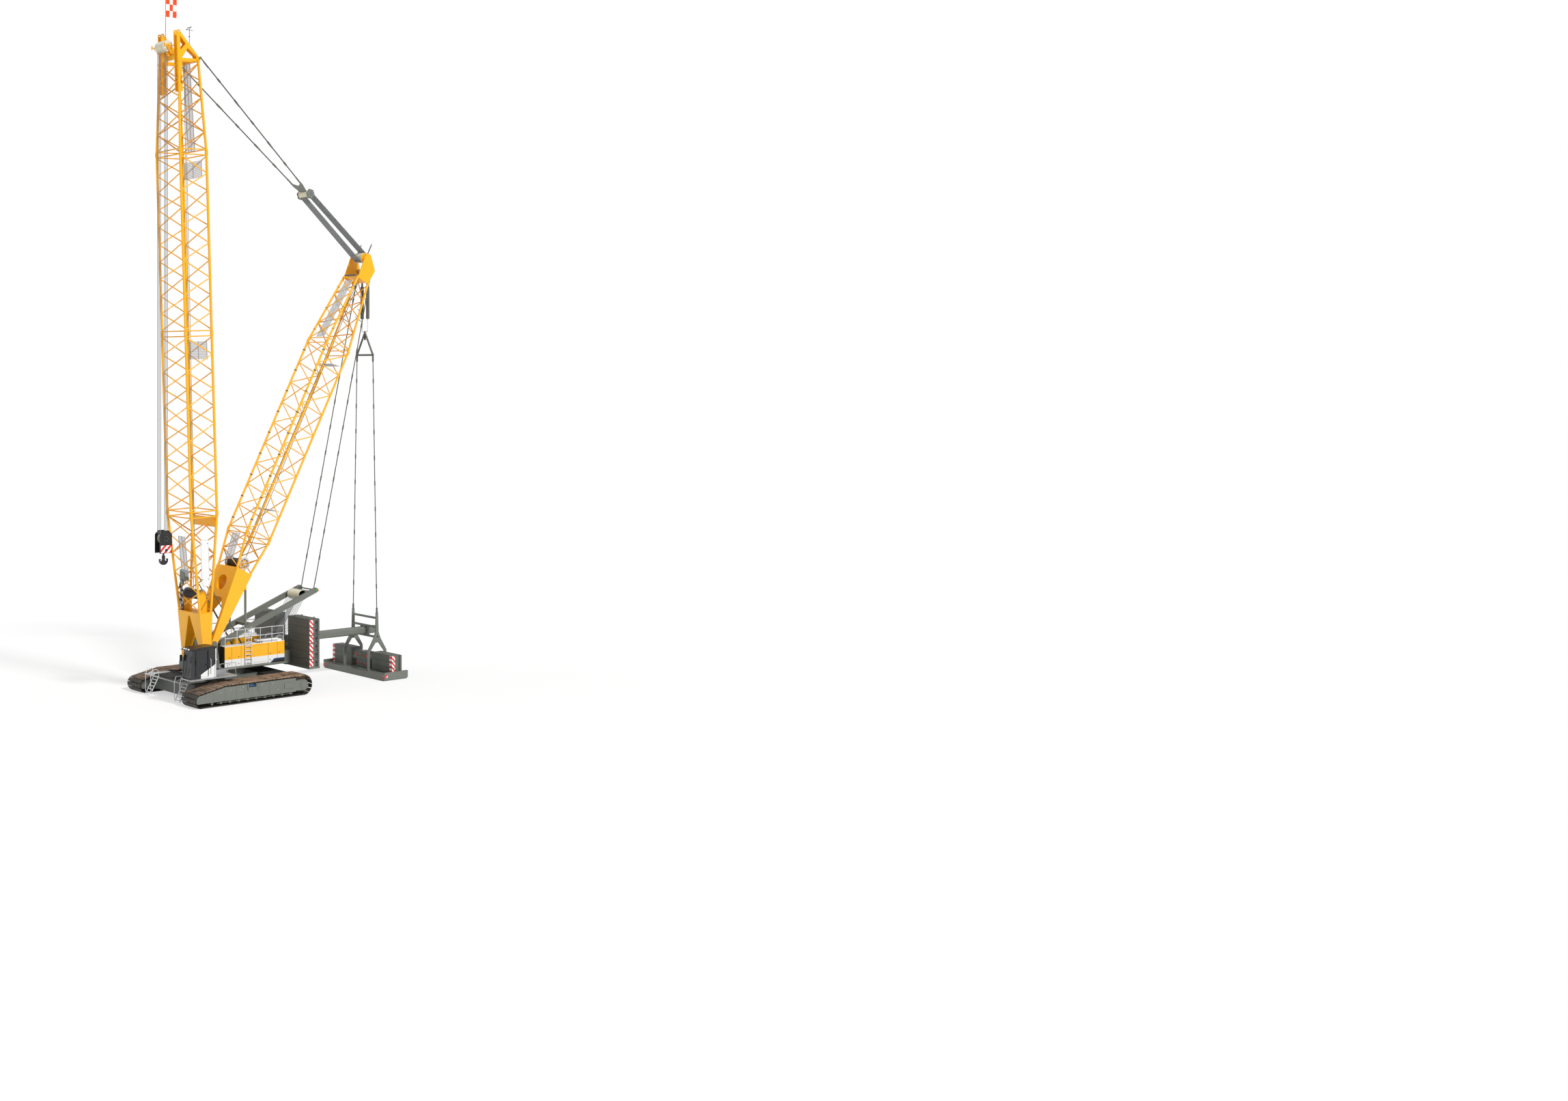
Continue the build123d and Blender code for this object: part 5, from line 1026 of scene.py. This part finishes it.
# --- counterweights and hanging ballast: warning stripes, tie bars and straps
stackSet = {"slabs": 6, "bottom": 0.80, "pitch": 0.27, "recess": 2.906}
for side, sign in trackSet["sides"].items():
    stripes = bmesh.new()
    for slab in range(stackSet["slabs"]):
        low = stackSet["bottom"] + stackSet["pitch"] * slab
        sideBox(stripes, sign, (1.619, 1.623), (2.606, 2.765), (low + 0.012, low + 0.250))
    pieceFrom(stripes, "stackStripes." + side, "stripes", "upper", bevel=0.001)
    ties = []
    for slab in range(stackSet["slabs"]):
        low = stackSet["bottom"] + stackSet["pitch"] * slab
        ties.append([(sign * 1.606, stackSet["recess"], low + lift) for lift in (0.03, 0.20)])
        ties.append([(sign * 1.596, 2.865, low + 0.14), (sign * 1.596, 2.945, low + 0.14)])
    tubes("stackTies." + side, ties, 0.012, "black", "upper")
    lows = [stackSet["bottom"] + stackSet["pitch"] * slab for slab in range(stackSet["slabs"])]
    spots = [((sign * 1.592, stackSet["recess"], low + 0.08), outward(sign)) for low in lows]
    units("stackBolts." + side, bolt, spots, "steelGrey", "upper", size=1.6)
    lugs = []
    for x in (0.65, 1.35):
        for y in (2.68, 2.98):
            hoop = ((x, 2.42), (x, 2.455), (x + 0.07, 2.455), (x + 0.07, 2.42))
            lugs.append([(sign * out, y, z) for out, z in hoop])
    tubes("stackLugs." + side, lugs, 0.012, "steelGrey", "upper")

hanging = bmesh.new()
for sign in (-1, 1):
    for slab in range(3):
        low = 0.21 + 0.2133 * slab
        sideBox(hanging, sign, (1.694, 1.698), (6.172, 6.31), (low + 0.008, low + 0.200))
        sideBox(hanging, sign, (1.565, 1.69), (6.163, 6.167), (low + 0.008, low + 0.200))
pieceFrom(hanging, "ballastStripes", "stripes", "ballast", bevel=0.001)
corners = bmesh.new()
for x in (-1.70, 1.70):
    addBox(corners, (x - 0.05, 5.787, 0.09), (x + 0.05, 5.793, 0.19), slewPlace)
for x in (-1.766, 1.764):
    addBox(corners, (x - 0.001, 5.82, 0.13), (x + 0.003, 5.92, 0.23), slewPlace)
pieceFrom(corners, "trayCorners", "blockStripes", "ballast")
straps = bmesh.new()
for x in (-0.305, -0.02, 0.27):
    for low, high in ((0.33, 0.40), (0.62, 0.70)):
        addBox(straps, (x, 6.150, low), (x + 0.035, 6.168, high), slewPlace)
pieceFrom(straps, "slabStraps", "red", "ballast", bevel=0.004)
print("ballast dressed")

# --- stays: round bars with sleeves over the frame's straight ones
stayLook = {"sleeve": 0.16, "pitch": 0.9}


def stayPiece(name, body, place, runs, radius):
    sleeves = []
    for first, last in runs:
        first, last = Vector(first), Vector(last)
        run = last - first
        count = int(run.length / stayLook["pitch"])
        for step in range(1, count):
            middle = first + run * step / count
            half = run.normalized() * stayLook["sleeve"] / 2
            sleeves.append([middle - half, middle + half])
    for part, lines, reach in (("Bars", runs, radius), ("Sleeves", sleeves, radius * 1.5)):
        tubes(name + part, lines, reach, "stayGrey", body, place, slot="machine_grey")


finishes["stayGrey"] = paint(
    "stayGrey", linear(96, 99, 94), coat=0.0, roughness=0.45, cloudScale=14.0, cloudDepth=0.3
)
stayX, stayLow, stayHigh = 0.369, (3.77, 3.42), (6.28, 14.30)
runs = [((s * stayX, *stayLow), (s * stayX, *stayHigh)) for s in (-1, 1)]
stayPiece("derrickStay", "derrick", slewPlace, runs, 0.0175)
runs = [((s * 0.452, 6.317, 11.42), (s * 0.675, 6.317, 2.27)) for s in (-1, 1)]
stayPiece("pendant", "ballast", slewPlace, runs, 0.0165)
hangSet = {
    "x": 0.16, "y": 6.317, "eye": 14.458, "cylinder": (12.73, 13.885), "yoke": (12.19, 11.43), "foot": 0.455
}
x, y, yoke = hangSet["x"], hangSet["y"], hangSet["yoke"]
runs = [[(s * x, y, 13.86), (s * x, y, 14.40)] for s in (-1, 1)]
runs += [[(s * 0.03, y, yoke[0]), (s * hangSet["foot"], y, yoke[1])] for s in (-1, 1)]
runs += [
    [(-hangSet["foot"], y, yoke[1]), (hangSet["foot"], y, yoke[1])],
    [(0, y, yoke[0] + 0.10), (0, y, yoke[0] - 0.22)],
]
runs += [
    [(s * hangSet["foot"], y, yoke[1] + 0.06), (s * hangSet["foot"], y, yoke[1] - 0.24)] for s in (-1, 1)
]
runs += [[(s * 0.674, y, 2.42), (s * 0.675, y, 2.22)] for s in (-1, 1)]
hangers = [tubes("pendantYoke", runs, 0.034, "stayGrey", "ballast")]
runs = [[(s * x, y, hangSet["cylinder"][0]), (s * x, y, hangSet["cylinder"][1])] for s in (-1, 1)]
hangers.append(tubes("pendantCylinders", runs, 0.062, "stayGrey", "ballast", sides=20))
runs = [
    [(s * x, y, hangSet["cylinder"][0] + 0.02), (s * x, y, 12.30), (s * 0.02, y, 12.22)] for s in (-1, 1)
]
tubes("pendantRods", runs, 0.022, "white", "ballast", sides=12)
eyes = bmesh.new()
for s in (-1, 1):
    place = sidePlace(1, s * x, y, hangSet["eye"])
    addTurned(eyes, [(0.036, -0.015), (0.075, -0.015), (0.075, 0.015), (0.036, 0.015)], place, 24)
hangers.append(pieceFrom(eyes, "pendantEyes", "stayGrey", "ballast", smooth=True))
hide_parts("ballast_pendants")
# ties between the derrick's back and its stays, the posts on its head, and the ropes inside
tieRuns = []
for height in (13.9, 13.4, 12.9, 12.6):
    share = (height - stayLow[1]) / (stayHigh[1] - stayLow[1])
    stayY = stayLow[0] + (stayHigh[0] - stayLow[0]) * share
    local = derrickPlace.inverted() @ fromSlew(stayX, stayY, height)
    for s in (-1, 1):
        back = Vector((s * 0.40, 0.45 if local.z < 11.2 else 0.45 - 0.094 * (local.z - 11.2), local.z))
        tieRuns.append([back, Vector((s * stayX, local.y, local.z))])
tubes("stayTies", tieRuns, 0.012, "stayGrey", "derrick", derrickPlace, slot="machine_grey")
runs = [[(s * 0.30, -0.177, 14.84), (s * 0.30, -0.177, 15.30)] for s in (-1, 1)]
tubes("headPosts", runs, 0.021, "stayGrey", "derrick", derrickPlace)
tips = ((-0.03, -0.177, 15.33), (0.03, -0.20, 15.34))
runs = [[(s * 0.30, -0.177, 15.26), (s * 0.30 + out, y, z)] for out, y, z in tips for s in (-1, 1)]
tubes("headPostTips", runs, 0.012, "lampClear", "derrick", derrickPlace)
runs = [[(-0.30, -0.31, 13.98), (0.30, -0.31, 13.98)]]
tubes("headCrossBar", runs, 0.032, "stayGrey", "derrick", derrickPlace)
runs = [[(s, 0.16, 3.0), (s * 0.3, 0.10, 13.9)] for s in (-0.14, 0.14)]
tubes("derrickLeadRopes", runs, 0.009, "ropeDark", "derrick", derrickPlace, sides=6)
runs = [[(s, -0.06, 2.25), (s * 0.6, 0.18, 19.9)] for s in (0.05, 0.16)]
tubes("boomLeadRopes", runs, 0.009, "ropeGrey", "boom", boomPlace, sides=6)
clamps = []
derrickChords = [
    chordsOf(derrickStations[low], derrickStations[high])
    for low, high in (("first", "second"), ("second", "top"))
]
for chord in derrickChords[0][::3] + derrickChords[1][::3]:
    count = int((chord[1] - chord[0]).length / 0.8)
    clamps += [
        [pointOn(chord, (k + 0.5) / count - 0.002), pointOn(chord, (k + 0.5) / count + 0.002)]
        for k in range(count)
    ]
tubes("chordClamps", clamps, 0.050, "ropeDark", "derrick", derrickPlace)
runs = [((s * 0.675, 0, 0.05), (s * 0.24, 0, 5.9)) for s in (-1, 1)]
stayPiece("boomStay", "boom_stays", suspensionPlace, runs, 0.022)
print("stays made")

# --- rollers, sheaves and rope layers on the winches
blockSet = {"y": -2.224, "axle": 5.33, "pin": 4.95, "guard": 0.172}


def groovedProfile(half, reach, spots, groove):
    # a roller's outline from end to end with a groove at each spot
    profile = [(0.0, -half), (reach, -half)]
    for spot in spots:
        profile += [(reach, spot - groove), (reach - groove * 0.7, spot), (reach, spot + groove)]
    return profile + [(reach, half), (0.0, half)]


sixSpots = [-0.21 + 0.084 * k for k in range(6)]
rollerSet = (
    ("aFrameRoller", "a_frame", slewPlace, (0, 3.2747, 3.059), 0.33, 0.179, aFrameSet["xs"], 0.012),
    ("yokeRoller", "boom_stays", suspensionPlace, (0, 0, 6.41), 0.255, 0.139, sixSpots, 0.012),
    ("derrickSheaves", "derrick", derrickPlace, (0, -0.177, 14.762), 0.24, 0.178, sixSpots, 0.012),
)
for name, body, place, middle, half, reach, spots, groove in rollerSet:
    mesh = bmesh.new()
    addTurned(mesh, groovedProfile(half, reach, spots, groove), sidePlace(1, *middle, place), 32)
    pieceFrom(mesh, name, "cream", body, smooth=True)
blockRim = [(0.0, -0.027), (0.157, -0.027), (0.1505, 0.0), (0.157, 0.027), (0.0, 0.027)]
headRim = [
    (0.0, -0.027), (0.184, -0.027), (0.182, -0.018), (0.168, 0.0), (0.182, 0.018), (0.184, 0.027),
    (0.0, 0.027),
]
for name, body, rim, z, steps in (
    ("blockSheaves", "hook_block", blockRim, blockSet["axle"], 28),
    ("headSheaveRims", "head_sheaves", headRim, 21.60, 32),
):
    sheaves = bmesh.new()
    for x in hoistSet["xs"]:
        addTurned(sheaves, rim, sidePlace(1, x, blockSet["y"], z), steps)
    pieceFrom(sheaves, name, "cream", body, smooth=True)

winchSet = (
    ("boomWinch", "boom_winch", slewPlace, (0, -0.996, 3.399), 0.405, 0.150),
    ("derrickWinch", "derrick_winch", derrickPlace, (0, 0, 2.888), 0.345, 0.150),
    ("rearWinch", "rear_winch", slewPlace, (0, 2.300, 1.560), 0.265, 0.165),
)
circle = [math.tau * step / 24 for step in range(25)]
for name, body, place, middle, half, reach in winchSet:
    turns = []
    count = int(2 * half / 0.019)
    for turn in range(count):
        x = -half + 2 * half * (turn + 0.5) / count
        turns.append(
            [
                (middle[0] + x, middle[1] + reach * math.cos(a), middle[2] + reach * math.sin(a))
                for a in circle
            ]
        )
    tubes(name + "Rope", turns, 0.0098, "ropeDark", body, place, sides=6, slot="rope_steel")

flange = bmesh.new()
for x, turn in ((0.418, 1), (-0.418, -1)):
    place = sidePlace(turn, x, 0, 2.888, derrickPlace)
    addTurned(flange, [(0.165, 0.0), (0.215, 0.0), (0.215, 0.022), (0.165, 0.022)], place, 36)
    addTurned(flange, [(0.0, 0.0), (0.07, 0.0), (0.062, 0.034), (0.0, 0.034)], place, 24)
    for spoke in range(8):
        turned = place @ Matrix.Rotation(math.tau * spoke / 8, 4, "Z")
        addBox(flange, (0.055, -0.013, 0.003), (0.175, 0.013, 0.018), turned)
pieceFrom(flange, "derrickWinchRims", "railPaint", "derrick_winch", bevel=0.003)

sidePlates = bmesh.new()
hexagon = [math.tau * k / 6 for k in range(6)]
yokeAt = tackleSet["start"]
for x in (-0.283, 0.263):
    outline = [(0.19 * math.cos(a), yokeAt + 0.19 * math.sin(a)) for a in hexagon]
    addPlate(sidePlates, outline, x, 0.020, suspensionPlace)
pieceFrom(sidePlates, "yokePlates", "steelGrey", "boom_stays", bevel=0.005)
spots = [
    ((sign * 0.285, 0.10 * math.cos(a), yokeAt + 0.10 * math.sin(a)), outward(sign))
    for sign in (-1, 1)
    for a in hexagon
]
units("yokeBolts", bolt, spots, "galvanised", "boom_stays", suspensionPlace)
print("rollers and winches made")

# --- hook block covers
covers = bmesh.new()
for x in (-0.1685, 0.1655):
    addBox(covers, (x, -2.430, 4.865), (x + 0.003, -2.018, 5.110), slewPlace)
pieceFrom(covers, "blockWarning", "blockStripes", "hook_block")
ringBolts = [(sign, 0.075 * math.cos(a), 0.075 * math.sin(a)) for sign in (-1, 1) for a in hexagon]
spots = [
    ((sign * 0.166, blockSet["y"] + y, blockSet["axle"] + z), outward(sign)) for sign, y, z in ringBolts
]
units("blockBolts", bolt, spots, "steelGrey", "hook_block", size=0.9)
axleCaps = bmesh.new()
for sign in (-1, 1):
    place = sidePlace(sign, sign * 0.165, blockSet["y"], blockSet["axle"])
    addTurned(
        axleCaps, [(0.0, 0.0), (0.105, 0.0), (0.105, 0.006), (0.052, 0.009), (0.045, 0.024), (0.0, 0.024)],
        place, 28,
    )
    place = sidePlace(sign, sign * 0.168, blockSet["y"], blockSet["pin"])
    addTurned(axleCaps, [(0.0, 0.0), (0.045, 0.0), (0.040, 0.020), (0.0, 0.020)], place, 20)
pieceFrom(axleCaps, "blockCaps", "black", "hook_block", smooth=True)
angles = [math.radians(a) for a in range(-30, 75, 15)]
arc = [blockSet["guard"] * Vector((math.cos(a), math.sin(a))) for a in angles]
guards = []
for k in range(5):
    x = -0.135 + 0.0675 * k
    for side in (1, -1):
        guards.append([(x, blockSet["y"] + side * point.x, blockSet["axle"] + point.y) for point in arc])
tubes("blockGuards", guards, 0.007, "black", "hook_block", slot="hook_black")
print("hook block dressed")

# --- machinery and pipes in the boom foot
gear = bmesh.new()
addBox(gear, (-0.30, -0.38, 2.62), (0.00, -0.20, 2.90), boomPlace)
addBox(gear, (-0.36, -0.33, 2.80), (0.06, -0.24, 2.98), boomPlace)
addBox(gear, (-0.22, -0.42, 2.50), (-0.08, -0.34, 2.66), boomPlace)
pieceFrom(gear, "valveBlock", "steelGrey", "boom", bevel=0.012)
pipes = []
for k in range(4):
    x = -0.26 + 0.05 * k
    sway = 0.05 * math.sin(2.1 * k)
    bend = [
        (x, -0.34, 2.62), (x - 0.05, -0.37, 2.52), (x - 0.10 + sway, -0.36, 2.40), (x - 0.06, -0.34, 2.27),
        (x - 0.14 + sway, -0.32, 2.12),
    ]
    pipes.append(bend + [(x - 0.20, -0.30, 1.96), (x - 0.18 + sway, -0.27, 1.78), (x - 0.22, -0.24, 1.60)])
tubes("boomFootPipes", pipes, 0.014, "rubber", "boom", boomPlace)
print("boom foot dressed")

# --- lamps and wind sensor
lampMesh = {"green": ((0.535, 3.70, 3.235),), "orange": ((0.535, 3.80, 3.215),)}
for tone, places in lampMesh.items():
    mesh = bmesh.new()
    for x, y, z in places:
        for side in (-1, 1):
            place = sidePlace(side, side * (x - 0.008), y, z)
            addTurned(
                mesh, [(0.0, 0.0), (0.030, 0.0), (0.030, 0.012), (0.022, 0.030), (0.0, 0.036)], place, 18
            )
    pieceFrom(mesh, tone + "Lamps", "lamp" + tone.capitalize(), "a_frame", smooth=True)
sensor = [
    [(0.30, -1.395, 21.55), (0.30, -1.395, 22.28)], [(0.30, -1.50, 22.20), (0.30, -1.26, 22.20)],
    [(0.22, -1.395, 22.28), (0.38, -1.395, 22.28)],
]
tubes("windSensorStem", sensor, 0.012, "galvanised", "boom", sides=6)
cups = bmesh.new()
for x, y, z in ((0.22, -1.395, 22.28), (0.38, -1.395, 22.28), (0.30, -1.50, 22.20), (0.30, -1.395, 21.98)):
    place = slewPlace @ Matrix.Translation((x, y, z))
    addTurned(cups, [(0.0, -0.02), (0.018, -0.016), (0.026, 0.0), (0.020, 0.016), (0.0, 0.02)], place, 14)
pieceFrom(cups, "windSensorCups", "black", "boom", smooth=True)

# --- flag
flagSet = {"y": (-2.212, -1.800), "z": (22.57, 23.21), "x": 0.137, "wave": 0.018}
cloth = bmesh.new()
bmesh.ops.create_grid(cloth, x_segments=42, y_segments=60, size=0.5)
for point in cloth.verts:
    along, up = point.co.x + 0.5, point.co.y + 0.5
    y = flagSet["y"][0] + (flagSet["y"][1] - flagSet["y"][0]) * along
    z = flagSet["z"][0] + (flagSet["z"][1] - flagSet["z"][0]) * up
    ripple = math.sin(9.0 * along - 2.2 * up) * 0.8 + 0.4 * math.sin(17.0 * along + 3.5 * up)
    point.co = slewPlace @ Vector(
        (flagSet["x"] + flagSet["wave"] * along ** 0.6 * ripple, y, z - 0.012 * along * math.sin(3.0 * up))
    )
material, tree, shader = newMaterial("flagCloth")
x, y, z = axesOf(tree, placeOf(tree))
cells = []
for axis, (low, high) in ((y, [part + slewY for part in flagSet["y"]]), (z, flagSet["z"])):
    cells.append(mathOf(tree, "FLOOR", rampOf(tree, axis, low, high, 0.0, 2.9999)))
odd = mathOf(tree, "MODULO", mathOf(tree, "ADD", *cells), 2.0)
coat(
    tree,
    shader,
    mixColour(tree, odd, tones["orange"], tones["white"]),
    {"coat": 0.0, "roughness": 0.85, "peelScale": 240.0, "peelDepth": 0.5},
)
finishes["flag"] = material
piece = pieceFrom(cloth, "flagSheet", "flag", "boom", smooth=True)
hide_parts("flag")
print("flag made")


# --- camera, floor and lights
viewSet = {
    "place": (48.4875, -34.8243, 10.998),
    "turn": 54.492,
    "lens": 39.63,
    "shift": (0.3301, -0.11695),
}
cameraData = bpy.data.cameras.new("camera")
cameraData.lens, cameraData.sensor_width = viewSet["lens"], 36.0
cameraData.shift_x, cameraData.shift_y = viewSet["shift"]
cameraData.clip_end = 1000.0
camera = bpy.data.objects.new("camera", cameraData)
camera.location = viewSet["place"]
camera.rotation_euler = (math.radians(90), 0.0, math.radians(viewSet["turn"]))
bpy.context.collection.objects.link(camera)
bpy.context.scene.camera = camera

stageSet = {"floorSize": 900.0, "shadowShare": 0.45, "floorTone": (0.92, 0.92, 0.92, 1.0), "skyLight": 0.45}


def floorPaint():
    # reads white to the camera and keeps a part of the shadow
    material = bpy.data.materials.new("floorPale")
    material.use_nodes = True
    tree = material.node_tree
    tree.nodes.remove(tree.nodes["Principled BSDF"])
    matt = addNode(tree, "ShaderNodeBsdfDiffuse", {"Color": stageSet["floorTone"]})
    glow = addNode(tree, "ShaderNodeEmission", {"Color": (1.0, 1.0, 1.0, 1.0), "Strength": 1.0})
    rays = addNode(tree, "ShaderNodeLightPath").outputs
    seen = mathOf(tree, "MAXIMUM", rays["Is Camera Ray"], rays["Is Glossy Ray"])
    share = mathOf(tree, "MULTIPLY", seen, 1 - stageSet["shadowShare"])
    mixer = addNode(tree, "ShaderNodeMixShader", {0: share, 1: matt.outputs[0], 2: glow.outputs[0]})
    tree.links.new(mixer.outputs[0], tree.nodes["Material Output"].inputs["Surface"])
    return material


floorMesh = bpy.data.meshes.new("floor")
reach = stageSet["floorSize"] / 2
floorMesh.from_pydata(
    [(-reach, -reach, 0), (reach, -reach, 0), (reach, reach, 0), (-reach, reach, 0)], [], [(0, 1, 2, 3)]
)
floorMesh.materials.append(floorPaint())
floor = bpy.data.objects.new("floor", floorMesh)
bpy.context.collection.objects.link(floor)

world = bpy.data.worlds.new("studio")
bpy.context.scene.world = world
world.use_nodes = True
skyTree = world.node_tree
skyRays = addNode(skyTree, "ShaderNodeLightPath").outputs
seenWhite = mathOf(skyTree, "MAXIMUM", skyRays["Is Camera Ray"], skyRays["Is Transmission Ray"])
background = skyTree.nodes["Background"].inputs
skyTree.links.new(rampOf(skyTree, seenWhite, 0.0, 1.0, stageSet["skyLight"], 1.0), background["Strength"])
background["Color"].default_value = (1.0, 1.0, 1.0, 1.0)

lampSet = {
    "keyLamp": {"strength": 2.5, "softness": 9.0, "turn": (44.0, 0.0, 98.0)},
    "fillLamp": {"strength": 0.5, "softness": 30.0, "turn": (60.0, 0.0, -25.0)},
}
for name, look in lampSet.items():
    lampData = bpy.data.lights.new(name, "SUN")
    lampData.energy, lampData.angle = look["strength"], math.radians(look["softness"])
    lamp = bpy.data.objects.new(name, lampData)
    lamp.rotation_euler = [math.radians(part) for part in look["turn"]]
    bpy.context.collection.objects.link(lamp)
print("stage set")
